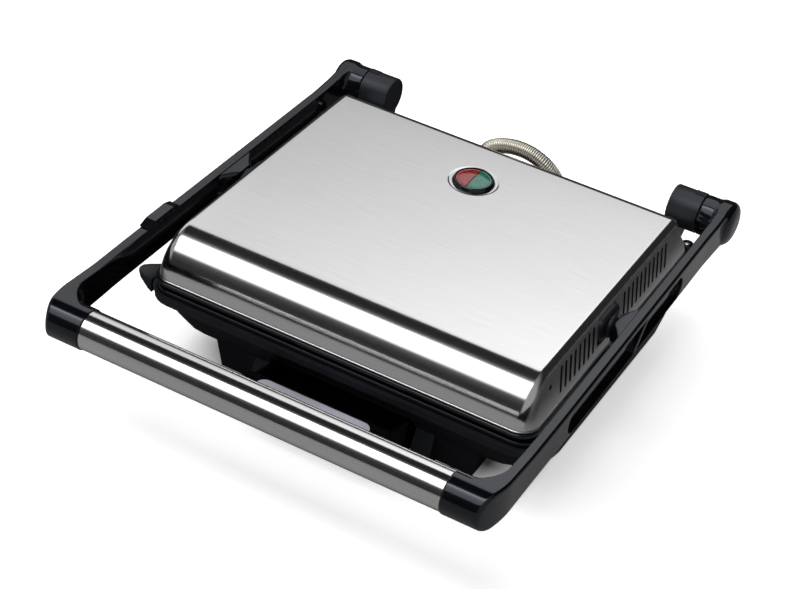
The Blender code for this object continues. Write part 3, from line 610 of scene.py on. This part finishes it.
CONDUIT_R = 6.2
CONDUIT_POINTS = (
    (-24.0, 165.5, 98.4), (-23.6, 168.6, 101.2), (-19.4, 170.2, 105.2), (-12.4, 170.2, 108.9),
    (-3.8, 170.0, 111.6), (4.2, 170.0, 112.5), (12.4, 170.0, 111.9), (19.6, 170.0, 110.0),
    (25.8, 170.6, 106.6), (30.4, 172.8, 101.4), (33.2, 177.4, 94.0), (34.8, 182.8, 85.0),
    (35.8, 187.0, 75.4), (36.6, 187.4, 65.2), (37.4, 183.6, 56.4), (38.0, 176.6, 51.6),
)
RIB_PITCH = 1.6
HOSE_SIDES = 28
CURVE_SPLITS = 24
FINE_STEP = 0.1
RIB_SHAPE = ((0.0, 0.9), (0.1, 0.955), (0.28, 1.0), (0.6, 1.0), (0.84, 0.965), (0.94, 0.9))


def smooth_route(points, step):
    """Evenly spaced points of a Catmull-Rom curve through the given points."""
    route = []
    padded = [points[0], *points, points[-1]]
    for a, b, c, d in zip(padded, padded[1:], padded[2:], padded[3:]):
        a, b, c, d = (Vector(p) for p in (a, b, c, d))
        for i in range(CURVE_SPLITS):
            t = i / CURVE_SPLITS
            route.append(0.5 * ((2 * b) + (c - a) * t + (2 * a - 5 * b + 4 * c - d) * t * t
                                + (3 * b - a - 3 * c + d) * t ** 3))
    route.append(Vector(points[-1]))
    lengths = [0.0]
    for p, q in zip(route, route[1:]):
        lengths.append(lengths[-1] + (q - p).length)
    table = np.array([tuple(p) for p in route])
    count = max(int(round(lengths[-1] / step)), 2)
    at = np.linspace(0.0, lengths[-1], count + 1)
    columns = [np.interp(at, lengths, table[:, k]) for k in range(3)]
    return [Vector(p) for p in zip(*columns)], lengths[-1]


def route_frames(points):
    """Each point of a route with its side and up directions."""
    up = Vector((0.0, 1.0, 0.0))
    frames = []
    for i, point in enumerate(points):
        tangent = (points[min(i + 1, len(points) - 1)] - points[max(i - 1, 0)]).normalized()
        side = tangent.cross(up).normalized()
        up = side.cross(tangent).normalized()
        frames.append((point, side, up))
    return frames


def rib_rings():
    """Sections of the ribbed hose along its route."""
    fine, length = smooth_route(CONDUIT_POINTS, FINE_STEP)
    frames = route_frames(fine)
    angles = [2.0 * math.pi * k / HOSE_SIDES for k in range(HOSE_SIDES)]
    rings = []
    for rib in range(int(length / RIB_PITCH)):
        for share, radius in RIB_SHAPE:
            index = min(int((rib + share) * RIB_PITCH / FINE_STEP), len(frames) - 1)
            point, side, over = frames[index]
            reach = CONDUIT_R * radius
            rings.append([point + reach * (math.cos(a) * side + math.sin(a) * over) for a in angles])
    return rings


def make_conduit():
    """Corrugated metal hose from the lid to the base."""
    hose = skin("conduit_hose", rib_rings(), "conduit", 60.0)
    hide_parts("conduit")
    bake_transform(hose)


# ---------------- lid cover

LID_TOP = 116.5
LID_FRONT = -107.0
LID_BACK_TOP = 151.6
LID_BACK_FOOT = 175.0
LID_FOOT_Z = 82.4
ROLL_R = 36.0
SIDE_FOOT_X = 155.4
SIDE_LEAN = 0.18
EDGE_TOP_R = 6.0
EDGE_FOOT_R = 14.0
LID_SKIN = 1.2
FOOT_BLEND = 20.0
BACK_R = 11.0
BACK_SLOPE = (
    (157.0, 106.3), (160.6, 102.0), (164.4, 97.5), (168.2, 93.0), (170.6, 90.1), (172.6, 87.6),
)
EDGE_TURNS = 12
CUT_REACH = 170.0
NOTCH_REACH = 140.0
NOTCH = ((1.0, 89.0), (40.0, 89.0), (35.0, 110.6), (6.0, 110.6))
SLOT_PITCH = 7.6
SLOT_WIDTH = 3.4
SLOT_GROUPS = ((-58.6, 8), (47.6, 11))
SLOT_LOW = 88.0
SLOT_HIGH = 109.0
SLOT_LEAN = 1.3
SIDE_HOLE = (-73.5, 102.0)
SIDE_HOLE_R = 2.1
LAMP_X = -2.0
LAMP_Y = 100.5
BEZEL_R = 16.6
DIMPLE_R = 20.4
DIMPLE_RUN = 1.7
DIMPLE_DEPTH = 0.55


def lid_profile():
    """Front-to-back line of the cover, open at the bottom."""
    points = [(LID_FRONT, LID_FOOT_Z)]
    center = (LID_FRONT + ROLL_R, LID_TOP - ROLL_R)
    points += arc(center, ROLL_R, 176.0, 90.0, 34)
    points += [(-20.0, LID_TOP), (60.0, LID_TOP), (120.0, LID_TOP)]
    points += arc((LID_BACK_TOP - BACK_R * 0.5, LID_TOP - BACK_R), BACK_R, 90.0, 46.0, 8)
    points += [*BACK_SLOPE, (LID_BACK_FOOT, LID_FOOT_Z)]
    return points


def side_x(z):
    """Half-width of the side panel at a height."""
    return SIDE_FOOT_X - SIDE_LEAN * (z - LID_FOOT_Z)


def profile_normals(points):
    """Inward normals of the cover line."""
    normals = []
    last = len(points) - 1
    for i in range(len(points)):
        ahead = Vector(points[min(i + 1, last)])
        behind = Vector(points[max(i - 1, 0)])
        tangent = (ahead - behind).normalized()
        level = min((points[i][1] - LID_FOOT_Z) / FOOT_BLEND, 1.0)
        normals.append(Vector((tangent.y, -tangent.x * level)).normalized())
    normals[0] = Vector((1.0, 0.0))
    normals[last] = Vector((-1.0, 0.0))
    return normals


def lid_rows(skin):
    """Rows of cover points from one side panel to the other, sunk by a skin."""
    points = lid_profile()
    normals = profile_normals(points)
    turns = EDGE_TURNS
    rows = []
    for side in (-1.0, 1.0):
        steps = range(turns, -1, -1) if side < 0 else range(turns + 1)
        for turn in steps:
            angle = math.radians(90.0 * turn / turns)
            row = []
            for (y, z), normal in zip(points, normals):
                drop = (LID_TOP - z) / (LID_TOP - LID_FOOT_Z)
                radius = EDGE_TOP_R + (EDGE_FOOT_R - EDGE_TOP_R) * drop
                inset = skin + (radius - skin) * (1.0 - math.cos(angle))
                new_y = y + normal.x * inset
                new_z = z + normal.y * inset
                x = side_x(new_z) - radius + (radius - skin) * math.sin(angle)
                row.append((side * x, new_y, new_z))
            rows.append(row)
    return rows


def sheet_faces(rows, start):
    """Faces of a grid of rows with its two end panels."""
    count = len(rows[0])
    faces = []
    for level in range(len(rows) - 1):
        for i in range(count - 1):
            a = start + level * count + i
            faces.append((a, a + 1, a + count + 1, a + count))
    last = start + (len(rows) - 1) * count
    faces.append(tuple(range(start + count - 1, start - 1, -1)))
    faces.append(tuple(last + i for i in range(count)))
    return faces


def foot_loop(rows, start):
    """Vertex loop along the open foot of a cover sheet."""
    count = len(rows[0])
    front = [start + level * count for level in range(len(rows))]
    back = [start + level * count + count - 1 for level in range(len(rows) - 1, -1, -1)]
    return front + back


def slot_cutter():
    """All cooling slots of both side panels, with round ends."""
    ring_sets = []
    radius = SLOT_WIDTH / 2.0
    for start, count in SLOT_GROUPS:
        for i in range(count):
            y = start + SLOT_PITCH * i + radius
            outline = arc((y + SLOT_LEAN, SLOT_HIGH - radius), radius, 0.0, 180.0, 6)
            outline += arc((y - SLOT_LEAN, SLOT_LOW + radius), radius, 180.0, 360.0, 6)
            ring_sets.append([[(x, a, b) for a, b in outline] for x in (-CUT_REACH, CUT_REACH)])
    return skin_all("slots", ring_sets, "housing")


def dimple_cutter():
    """Shallow pressed ring around the lamp hole."""
    wide = DIMPLE_R + 3.0
    profile = [(wide, LID_TOP + 4.0), (wide, LID_TOP + 0.4), (DIMPLE_R, LID_TOP + 0.0005)]
    for step in range(1, 9):
        share = step / 8.0
        radius = DIMPLE_R - DIMPLE_RUN * share
        profile.append((radius, LID_TOP - DIMPLE_DEPTH * 0.5 * (1.0 - math.cos(math.pi * share))))
    profile += [(BEZEL_R - 2.0, LID_TOP - DIMPLE_DEPTH), (BEZEL_R - 2.0, LID_TOP + 4.0)]
    return revolve("dimple", (LAMP_X, LAMP_Y), profile, "Z", 96, None, ring=True)


def cover_sheet():
    """Plain steel sheet of the cover, open at the bottom."""
    outer = lid_rows(0.0)
    inner = lid_rows(LID_SKIN)
    vertices = [point for row in outer + inner for point in row]
    start = len(vertices) // 2
    faces = sheet_faces(outer, 0)
    faces += [tuple(reversed(face)) for face in sheet_faces(inner, start)]
    outside = foot_loop(outer, 0)
    inside = foot_loop(inner, start)
    for i, a in enumerate(outside):
        j = (i + 1) % len(outside)
        faces.append((a, inside[i], inside[j], outside[j]))
    return new_piece("lid_cover_sheet", vertices, faces, "lid_steel")


def make_lid_cover():
    """Steel cover with slots, lamp hole, dimple, side holes and pivot notches."""
    cover = cover_sheet()
    combine(cover, slot_cutter(), "DIFFERENCE")
    hole_profile = ((BEZEL_R + 0.3, 100.0), (BEZEL_R + 0.3, 130.0))
    combine(cover, revolve("hole", (LAMP_X, LAMP_Y), hole_profile, "Z", 96, None), "DIFFERENCE")
    combine(cover, dimple_cutter(), "DIFFERENCE")
    hole_profile = ((SIDE_HOLE_R, -CUT_REACH), (SIDE_HOLE_R, CUT_REACH))
    combine(cover, revolve("side_hole", SIDE_HOLE, hole_profile, "X", 24, "housing"), "DIFFERENCE")
    for near, far in ((-CUT_REACH, -NOTCH_REACH), (NOTCH_REACH, CUT_REACH)):
        combine(cover, prism("notch", list(NOTCH), near, far, "X"), "DIFFERENCE")
    shade(cover, 32.0)
    even_normals(cover)
    finish_piece(cover, "lid", "steel", "lid_cover")


# ---------------- arms

HINGE_Y = 199.4
HINGE_Z = 96.0
HINGE_R = 16.2
KNUCKLE_IN = 153.2
KNUCKLE_OUT = 176.4
HANDLE_Y = -201.0
HANDLE_Z = 95.6
HANDLE_R = 14.6
HANDLE_HALF = 142.4
CAP_R = 15.4
FAN_X = 150.0
FAN_Y = -170.0
RAYS = 132
RAY_START = 0.4
RAY_REACH = 60.0
RAY_STEPS = 150
RAY_HALVINGS = 22
PLATE_EDGE = 1.0
CAP_FILLET = 17.0
OUTER_EDGE = 2.3
DOME_RISE = 4.39
BOSS_EDGE = 0.9
KNUCKLE_FILLET = 4.5


def arm_top(y):
    """Height of the arm's upper edge along its length."""
    return np.interp(y, (-201.0, -190.0, -150.0, 150.0, 172.0, 193.8, 199.4),
                     (111.0, 110.2, 107.7, 108.6, 109.4, 111.8, 112.2))


def arm_low(y):
    """Height of the arm's lower edge along its length."""
    return np.interp(y, (-201.0, -175.0, -150.0, 150.0, 180.0, 192.6, 199.4),
                     (80.2, 80.9, 81.3, 82.2, 82.0, 81.3, 79.8))


def round_and(a, b, radius):
    """Intersection of two solids with a rounded edge."""
    u = np.maximum(a + radius, 0.0)
    v = np.maximum(b + radius, 0.0)
    return np.minimum(np.maximum(a, b), -radius) + np.hypot(u, v)


def round_or(a, b, radius):
    """Union of two solids with a filleted corner."""
    u = np.maximum(radius - a, 0.0)
    v = np.maximum(radius - b, 0.0)
    return np.maximum(np.minimum(a, b), radius) - np.hypot(u, v)


def side_shape(y, z):
    """Signed distance of the arm's side view: a bar with round ends."""
    bar = np.maximum(z - arm_top(y), arm_low(y) - z)
    front = np.hypot(y - HANDLE_Y, z - HANDLE_Z) - CAP_R
    rear = np.hypot(y - HINGE_Y, z - HINGE_Z) - HINGE_R
    shape = np.where(y < HANDLE_Y, front, bar)
    return np.where(y > HINGE_Y, rear, shape)


CORNER_START = -180.0
CORNER_RUN = 37.0
CORNER_DROP = 8.1


def arm_outer(y):
    """Outer face of the arm in plan."""
    line = np.interp(y, (-180.0, -111.0, 151.0, 217.0), (177.6, 177.6, 175.4, 176.8))
    share = np.clip((CORNER_START - y) / CORNER_RUN, 0.0, 1.2)
    return line - CORNER_DROP * share ** 2.0


def arm_inner(y):
    """Inner face of the arm in plan."""
    return np.interp(y, (-150.0, -130.0, 151.0, 217.0), (169.2, 169.6, 167.4, 167.2))


def arm_field(x, y, z):
    """Signed distance of the right arm, negative inside."""
    side = side_shape(y, z)
    outer = x - arm_outer(y)
    plate = round_and(side, arm_inner(y) - x, PLATE_EDGE)
    cap = np.hypot(y - HANDLE_Y, z - HANDLE_Z) - CAP_R
    body = round_or(plate, cap, CAP_FILLET)
    body = np.maximum(body, side)
    body = round_and(body, outer, OUTER_EDGE)
    reach = np.hypot(y - HINGE_Y, z - HINGE_Z)
    dome = x - (KNUCKLE_OUT + DOME_RISE - DOME_RISE * (reach / HINGE_R) ** 4)
    boss = round_and(reach - HINGE_R, np.maximum(KNUCKLE_IN - x, dome), BOSS_EDGE)
    return round_or(body, boss, KNUCKLE_FILLET)


def cast(center, across, rise, angles):
    """Points where rays from a centre, all in one plane, leave the arm."""
    direction = np.cos(angles)[:, None] * across + np.sin(angles)[:, None] * rise
    low = np.zeros(len(angles))
    high = np.full(len(angles), RAY_REACH)
    for t in np.linspace(RAY_START, RAY_REACH, RAY_STEPS):
        point = center + direction * t
        value = arm_field(point[:, 0], point[:, 1], point[:, 2])
        crossed = (value > 0.0) & (high >= RAY_REACH)
        high = np.where(crossed, t, high)
        low = np.where((value <= 0.0) & (high >= RAY_REACH), t, low)
    for _ in range(RAY_HALVINGS):
        middle = (low + high) / 2.0
        point = center + direction * middle[:, None]
        inside = arm_field(point[:, 0], point[:, 1], point[:, 2]) <= 0.0
        low = np.where(inside, middle, low)
        high = np.where(inside, high, middle)
    return center + direction * ((low + high) / 2.0)[:, None]


def ellipse_angles(wide, tall):
    """Ray angles spaced as on an ellipse."""
    t = np.linspace(0.0, 2.0 * math.pi, RAYS, endpoint=False)
    return np.arctan2(tall * np.sin(t), wide * np.cos(t))


# Cap sections: place along X, then how far the rounded end draws in.
CAP_SECTIONS = (
    (HANDLE_HALF + 0.3, 0.45), (HANDLE_HALF + 0.5, 0.16), (HANDLE_HALF + 0.9, 0.0),
    (144.5, 0.0), (146.5, 0.0), (148.5, 0.0),
)
RISE = np.array((0.0, 0.0, 1.0))
ARM_MIDDLE = (172.6, 95.4)
FAN_STEPS = 64
FAN_REACH = (31.0, 22.5)
FAN_WIDE = (15.4, 5.5)
FAN_TALL = 15.0
BAR_TALL = 14.0
# Where the bar starts to swell and to rise towards the knuckle, and over what length.
SWELL_Y = (176.0, 12.0)
LIFT_Y = (150.0, 40.0)


def between(ends, share):
    """Value at a share of the way from one end to the other."""
    return ends[0] + (ends[1] - ends[0]) * share


def cap_rings():
    """Sections across the front cap, starting at the handle."""
    rings = []
    for x, shrink in CAP_SECTIONS:
        center = np.array((x, HANDLE_Y, HANDLE_Z))
        ring = cast(center, np.array((0.0, -1.0, 0.0)), RISE, ellipse_angles(1.0, 1.0))
        rings.append(center + (ring - center) * (1.0 - shrink / CAP_R))
    return rings


def fan_rings():
    """Sections round the front corner, from the cap to the bar of the arm."""
    rings = []
    for i in range(FAN_STEPS + 1):
        share = i / FAN_STEPS
        turn = math.radians(90.0 * share)
        across = np.array((math.sin(turn), -math.cos(turn), 0.0))
        center = np.array((FAN_X, FAN_Y, ARM_MIDDLE[1])) + across * between(FAN_REACH, share)
        angles = ellipse_angles(between(FAN_WIDE, share), FAN_TALL)
        rings.append(cast(center, across, RISE, angles))
    return rings


def bar_rings():
    """Sections along the bar of the arm and round its knuckle."""
    along = list(np.arange(-168.0, 176.0, 4.0)) + list(np.arange(177.0, 199.0, 1.1))
    along += [HINGE_Y + HINGE_R * math.sin(math.radians(a)) for a in np.linspace(0.0, 88.5, 22)]
    rings = []
    for y in along:
        swell = np.clip((y - SWELL_Y[0]) / SWELL_Y[1], 0.0, 1.0)
        lift = np.clip((y - LIFT_Y[0]) / LIFT_Y[1], 0.0, 1.0)
        center = np.array((ARM_MIDDLE[0] - 3.0 * swell, y, ARM_MIDDLE[1] + 0.6 * lift))
        tall = BAR_TALL
        if y > HINGE_Y:
            tall = max(math.sqrt(max(HINGE_R ** 2 - (y - HINGE_Y) ** 2, 0.0)), 0.5)
        angles = ellipse_angles(5.5 + 8.0 * swell, tall)
        rings.append(cast(center, np.array((1.0, 0.0, 0.0)), RISE, angles))
    return rings


POCKET_DEPTH = 3.5
POCKET_LOW = 84.0
POCKET_HIGH = 103.5
POCKET_FRONT = -95.5
POCKET_BACK = 105.5
WEB_Y = 29.5
WEB_LEAN = 9.0
WEB_HALF = 2.2
# Pocket sections: depth under the outer face, then how much wider the outline is.
POCKET_LEVELS = (
    (POCKET_DEPTH, -0.5), (POCKET_DEPTH - 0.4, 0.0), (0.8, 0.0), (0.35, 0.14), (0.1, 0.42), (-0.4, 1.1),
)


def pocket_outline(front, back, leaning_end, grow):
    """Pocket outline in YZ; grow widens it."""
    low = POCKET_LOW - grow
    high = POCKET_HIGH + grow
    middle = (low + high) / 2.0
    radius = (high - low) / 2.0
    if leaning_end == "back":
        points = [(back - WEB_LEAN + grow, low), (back + WEB_LEAN + grow, high)]
        points += arc((front + radius - grow, middle), radius, 90.0, 270.0, 16)
    else:
        points = arc((back - radius + grow, middle), radius, -90.0, 90.0, 16)
        points += [(front + WEB_LEAN - grow, high), (front - WEB_LEAN - grow, low)]
    return points


def pocket_cutter():
    """Both outer pockets of the right arm, with a rolled rim."""
    ring_sets = []
    for front, back, end in (
        (POCKET_FRONT, WEB_Y - WEB_HALF, "back"),
        (WEB_Y + WEB_HALF, POCKET_BACK, "front"),
    ):
        rings = []
        for depth, grow in POCKET_LEVELS:
            outline = pocket_outline(front, back, end, grow)
            rings.append([(float(arm_outer(a)) - depth, a, b) for a, b in outline])
        ring_sets.append(rings)
    return skin_all("pockets", ring_sets, None)


def make_arms():
    """Both arms, the left one as the mirror image of the right one."""
    right = skin("arm_right_shell", cap_rings() + fan_rings() + bar_rings(), "gloss", 50.0)
    combine(right, pocket_cutter(), "DIFFERENCE")
    shade(right, 34.0)
    left = bpy.data.objects.new("arm_left_shell", right.data.copy())
    bpy.context.scene.collection.objects.link(left)
    left.data.transform(Matrix.Diagonal((-1.0, 1.0, 1.0, 1.0)))
    left.data.flip_normals()
    shade(left, 34.0)
    for arm, label in ((right, "right"), (left, "left")):
        even_normals(arm)
        finish_piece(arm, "arms", "gloss", "arm_" + label)


def make_handle():
    """Handle tube with rolled-in ends."""
    profile = [
        (HANDLE_R - 1.2, -HANDLE_HALF), (HANDLE_R - 0.35, -HANDLE_HALF), (HANDLE_R, -HANDLE_HALF + 0.35),
        (HANDLE_R, -60.0), (HANDLE_R, 60.0),
        (HANDLE_R, HANDLE_HALF - 0.35), (HANDLE_R - 0.35, HANDLE_HALF), (HANDLE_R - 1.2, HANDLE_HALF),
    ]
    tube = revolve("handle_grip", (HANDLE_Y, HANDLE_Z), profile, "X", 128, "steel", ring=True)
    finish_piece(tube, "arms", "steel", "handle_tube")


# ---------------- indicator

BEZEL_PROFILE = (
    (16.6, 112.1), (16.6, 116.8), (16.35, 117.3), (15.9, 118.0), (15.3, 118.8), (15.0, 119.1),
    (14.75, 119.2), (14.5, 119.15), (14.35, 118.9), (14.3, 112.1),
)
LENS_PROFILE = (
    (14.0, 112.5), (14.0, 118.3), (13.8, 118.6), (13.4, 118.75), (12.9, 118.75), (12.6, 118.6),
    (12.3, 118.75), (11.0, 119.1), (8.5, 119.5), (5.5, 119.75), (2.5, 119.87), (0.8, 119.9),
)
LENS_SPLIT = 0.35
LENS_STEPS = 40


def make_lens(name, side, slot, node):
    """Half of the domed lens, with a fine ring near its rim."""
    rings = []
    for radius, z in LENS_PROFILE:
        reach = radius - LENS_SPLIT
        ring = []
        for step in range(LENS_STEPS + 1):
            angle = math.radians(-90.0 + 180.0 * step / LENS_STEPS)
            x = LAMP_X + side * (LENS_SPLIT + reach * math.cos(angle))
            ring.append((x, LAMP_Y + reach * math.sin(angle), z))
        rings.append(ring)
    finish_piece(skin(name, rings, slot, 30.0), "lid", slot, node)


def make_indicator():
    """Black bezel cone with a red and a green half lens."""
    bezel = revolve("indicator_ring", (LAMP_X, LAMP_Y), BEZEL_PROFILE, "Z", 96, "gloss", ring=True)
    finish_piece(bezel, "lid", "gloss", "indicator_bezel")
    make_lens("lens_red_dome", -1.0, "red_lens", "lens_red")
    make_lens("lens_green_dome", 1.0, "green_lens", "lens_green")


# ---------------- rings round the lid and base

RIM_OUTER = (158.7, -106.9, 174.7)
FRAME_OUTER = (157.6, -109.6, 176.8)
HEM_OUTER = (156.0, -108.0, 176.0)
HEM_WIDTH = 7.0
RIM_Z = (63.0, 72.0)
FRAME_Z = (77.0, 80.5)
HEM_Z = (80.8, 82.1)
INNER_CORNER = 0.6
EDGE_STEPS = 4
CORNER_STEPS = 14
PLATE_OPENING = (141.5, -95.5, 162.5)


def rounded_ring(half_x, front, back, radius, z):
    """Rounded rectangle in a level plane."""
    return [(x, y, z) for x, y in round_rect(-half_x, half_x, front, back, radius, CORNER_STEPS)]


def trim_ring(name, outer, inner, levels, radius, edge, body, slot, node):
    """Flat ring with rolled outer edges."""
    low, high = levels
    turns = [math.radians(90.0 * step / EDGE_STEPS) for step in range(EDGE_STEPS + 1)]
    profile = [(edge * (1.0 - math.sin(a)), low + edge * (1.0 - math.cos(a))) for a in turns]
    profile += [(edge * (1.0 - math.cos(a)), high - edge * (1.0 - math.sin(a))) for a in turns]
    rings = []
    for inset, z in profile:
        half_x, front, back = outer
        rings.append(rounded_ring(half_x - inset, front + inset, back - inset, radius - inset, z))
    rings.append(rounded_ring(*inner, INNER_CORNER, high))
    rings.append(rounded_ring(*inner, INNER_CORNER, low))
    ring = skin(name, rings, slot, 40.0, closed_loop=True)
    even_normals(ring)
    finish_piece(ring, body, slot, node)


def make_rings():
    """Gloss rim of the base, gloss frame of the lid and the bright hem between."""
    half_x, front, back = HEM_OUTER
    hem_inner = (half_x - HEM_WIDTH, front + HEM_WIDTH, back - HEM_WIDTH)
    trim_ring("base_rim_ring", RIM_OUTER, PLATE_OPENING, RIM_Z, 17.0, 1.6, "base", "gloss", "base_rim")
    trim_ring("lid_frame_ring", FRAME_OUTER, PLATE_OPENING, FRAME_Z, 16.0, 1.2, "lid", "gloss", "lid_frame")
    trim_ring("lid_hem_ring", HEM_OUTER, hem_inner, HEM_Z, 15.0, 0.6, "lid", "steel", "lid_hem")


# ---------------- pivots, hinges and small parts

PIVOT_Y = 20.5
PIVOT_Z = 98.0
# Web sections: place along X, front, back, low, high and corner radius.
PIVOT_WEB = (
    (169.2, -2.5, 46.5, 83.5, 107.0, 5.0),
    (168.2, -1.5, 45.5, 84.0, 107.0, 5.0),
    (164.0, 5.0, 38.5, 85.5, 107.0, 6.0),
    (160.6, 9.0, 33.0, 87.0, 106.9, 6.0),
    (159.4, 10.2, 31.8, 88.5, 106.2, 5.6),
    (159.0, 11.6, 30.5, 90.0, 104.8, 5.0),
)
# Cap sections: place along X, then inset from its box (front, back, low, high).
CAP_LEVELS = ((145.0, 0.0), (151.6, 0.0), (153.2, 0.5), (154.4, 1.7), (154.9, 3.2))
CAP_BOX = (3.4, 37.6, 89.8, 110.0)
CAP_CORNER = 7.0
BOSS_PROFILE = ((8.8, 150.0), (8.8, 156.4), (8.2, 157.6), (6.8, 158.4), (5.4, 158.6))


def make_pivots():
    """Bosses of the floating lid and the webs that carry them on the arms."""
    for side, label in SIDES:
        rings = [[(side * x, a, b) for a, b in round_rect(*rest)] for x, *rest in PIVOT_WEB]
        web = skin("pivot_web_" + label, rings, "gloss", 40.0)
        finish_piece(web, "arms", "gloss")
        rings = []
        for x, inset in CAP_LEVELS:
            front, back, low, high = CAP_BOX
            outline = round_rect(
                front + inset, back - inset, low + inset, high - inset, CAP_CORNER - inset)
            rings.append([(side * x, a, b) for a, b in outline])
        boss = skin("pivot_cap_" + label, rings, "housing", 40.0)
        profile = [(radius, side * x) for radius, x in BOSS_PROFILE]
        hub = revolve("hub", (PIVOT_Y, PIVOT_Z), profile, "X", 48, "housing")
        combine(boss, hub, "UNION")
        shade(boss, 40.0)
        finish_piece(boss, "lid", "housing", "pivot_boss_" + label)


BARREL_IN = 127.0
BARREL_OUT = 152.6
POST_OUTLINE = (
    (178.4, 62.0), (193.0, 62.0), (206.0, 72.0), (210.0, 84.0),
    (199.4, 96.0), (190.0, 96.0), (185.6, 84.0), (178.4, 71.6),
)
BARREL_PROFILE = (
    (HINGE_R - 6.0, BARREL_IN + 0.5), (HINGE_R - 2.2, BARREL_IN + 0.5), (HINGE_R - 1.9, BARREL_IN),
    (HINGE_R - 1.3, BARREL_IN), (HINGE_R - 0.5, BARREL_IN + 0.35), (HINGE_R, BARREL_IN + 1.3),
    (HINGE_R, BARREL_OUT - 0.5), (HINGE_R - 0.5, BARREL_OUT), (HINGE_R - 6.0, BARREL_OUT),
)
POST_X = (BARREL_IN + 1.5, 139.5)
TAB_X = (143.4, BARREL_OUT - 0.05)
TAB_TURN = (92.0, 66.0)


def make_barrels():
    """Hinge barrels with rolled edges and a sunk inner end face, each with its post and stop tab."""
    for side, label in SIDES:
        points = [(radius, side * x) for radius, x in BARREL_PROFILE]
        barrel = revolve("hinge_drum_" + label, (HINGE_Y, HINGE_Z), points, "X", 72, "housing")
        post = prism("post", POST_OUTLINE, side * POST_X[0], side * POST_X[1], "X")
        combine(barrel, post, "UNION")
        outline = arc((HINGE_Y, HINGE_Z), HINGE_R + 0.6, *TAB_TURN, 8)
        outline += arc((HINGE_Y, HINGE_Z), HINGE_R - 3.0, *reversed(TAB_TURN), 8)
        tab = prism("tab", outline, side * TAB_X[0], side * TAB_X[1], "X")
        combine(barrel, tab, "UNION")
        shade(barrel, 32.0)
        barrel.data.materials.clear()
        barrel.data.materials.append(MATERIALS["housing"])
        finish_piece(barrel, "base", "housing", "hinge_barrel_" + label)


# Screw head: share of its radius, then height from its upper edge.
SCREW_PROFILE = ((0.6, -1.4), (1.0, -0.3), (1.0, 0.0), (0.86, 0.35), (0.5, 0.55))
CROSS_LENGTH = 0.55
CROSS_WIDTH = 0.13


def make_screw(name, x, y, z, radius, body):
    """Pan-head screw with a cross recess, its head facing up."""
    profile = [(radius * share, z + rise) for share, rise in SCREW_PROFILE]
    head = revolve(name, (x, y), profile, "Z", 32, "bright_metal")
    for turn in (0.0, 90.0):
        angle = math.radians(turn)
        along = (math.cos(angle), math.sin(angle))
        outline = []
        for a, b in ((1, 1), (-1, 1), (-1, -1), (1, -1)):
            dx = a * radius * CROSS_LENGTH
            dy = b * radius * CROSS_WIDTH
            outline.append((x + dx * along[0] - dy * along[1], y + dx * along[1] + dy * along[0]))
        combine(head, prism("cross", outline, z - 0.2, z + 2.0, "Z"), "DIFFERENCE")
    shade(head, 30.0)
    finish_piece(head, body, "bright_metal")


EAR_X = 153.6
EAR_Y = 172.9
EAR_PROFILE = ((4.4, 77.2), (4.8, 77.6), (4.8, 83.2), (4.4, 83.6), (3.0, 83.6), (3.0, 82.6))
EAR_SCREW_Z = 83.3
EAR_SCREW_R = 2.4


def make_corner_ears():
    """Screwed ears at the rear corners of the lid frame."""
    for side, label in SIDES:
        x = side * EAR_X
        ear = revolve("frame_ear_" + label, (x, EAR_Y), EAR_PROFILE, "Z", 40, "gloss")
        finish_piece(ear, "lid", "gloss")
        make_screw("frame_screw_" + label, x, EAR_Y, EAR_SCREW_Z, EAR_SCREW_R, "lid")


CATCH_LEVELS = (
    (162.4, -98.0, -74.0, 57.0), (166.0, -97.2, -74.6, 58.4), (170.0, -96.0, -77.6, 60.8),
    (174.6, -94.4, -81.0, 63.4), (178.0, -91.6, -84.6, 65.6), (178.5, -90.4, -85.8, 66.6),
)
CATCH_TOP = 68.6


def make_catch():
    """Hook on the left of the base, thinning towards its tip."""
    rings = []
    for x, front, back, low in CATCH_LEVELS:
        outline = round_rect(front, back, low, CATCH_TOP, 0.8, 3)
        rings.append([(-x, a, b) for a, b in outline])
    hook = skin("latch_hook", rings, "housing", 40.0)
    finish_piece(hook, "base", "housing", "latch_catch")


TRAY_REFLECTION_OUTLINE = (-47.0, 47.0, -143.2, -125.4)
TRAY_REFLECTION_CORNER = 7.4
# Sections of the painted reflection sheet: inset from its outline, then height.
TRAY_REFLECTION_LEVELS = ((0.7, 50.02), (0.6, 50.3), (0.9, 50.42), (1.4, 50.46))


def make_tray_painted_reflection():
    """Pale sheet let into the grip shelf of the tray, with a rolled rim: a painted reflection of the soft
    box on the black shelf.
    """
    low_x, high_x, low_y, high_y = TRAY_REFLECTION_OUTLINE
    rings = []
    for inset, z in TRAY_REFLECTION_LEVELS:
        outline = round_rect(
            low_x + inset, high_x - inset, low_y + inset, high_y - inset, TRAY_REFLECTION_CORNER - inset, 10)
        rings.append([(x, y, z) for x, y in outline])
    # The pale panel material on this sheet is a painted reflection.
    finish_piece(skin("tray_painted_reflection", rings, "panel", 40.0), "tray", "steel")


# ---------------- carried-over CAD nodes

SOFT_EDGES = {"housing": 0.5, "gloss": 0.45, "plate": 0.4, "rubber": 0.3, "steel": 0.25}


def dress_nodes():
    """Give every shown CAD node its material and soft edges."""
    slots = {part["node"]: part["material_slot"] for part in frame["record"]["subparts"]}
    for name, obj in NODES.items():
        slot = slots[name]
        obj.data.materials.clear()
        obj.data.materials.append(MATERIALS[slot])
        if not obj.hide_render and slot in SOFT_EDGES:
            soften(obj, SOFT_EDGES[slot])


bpy.context.scene.view_settings.view_transform = "Standard"
bpy.context.scene.view_settings.look = "None"
make_camera()
make_world()
make_floor()
make_panel()
make_conduit()
make_lid_cover()
make_arms()
make_handle()
make_indicator()
make_rings()
make_pivots()
make_barrels()
make_corner_ears()
make_catch()
make_tray_painted_reflection()
dress_nodes()
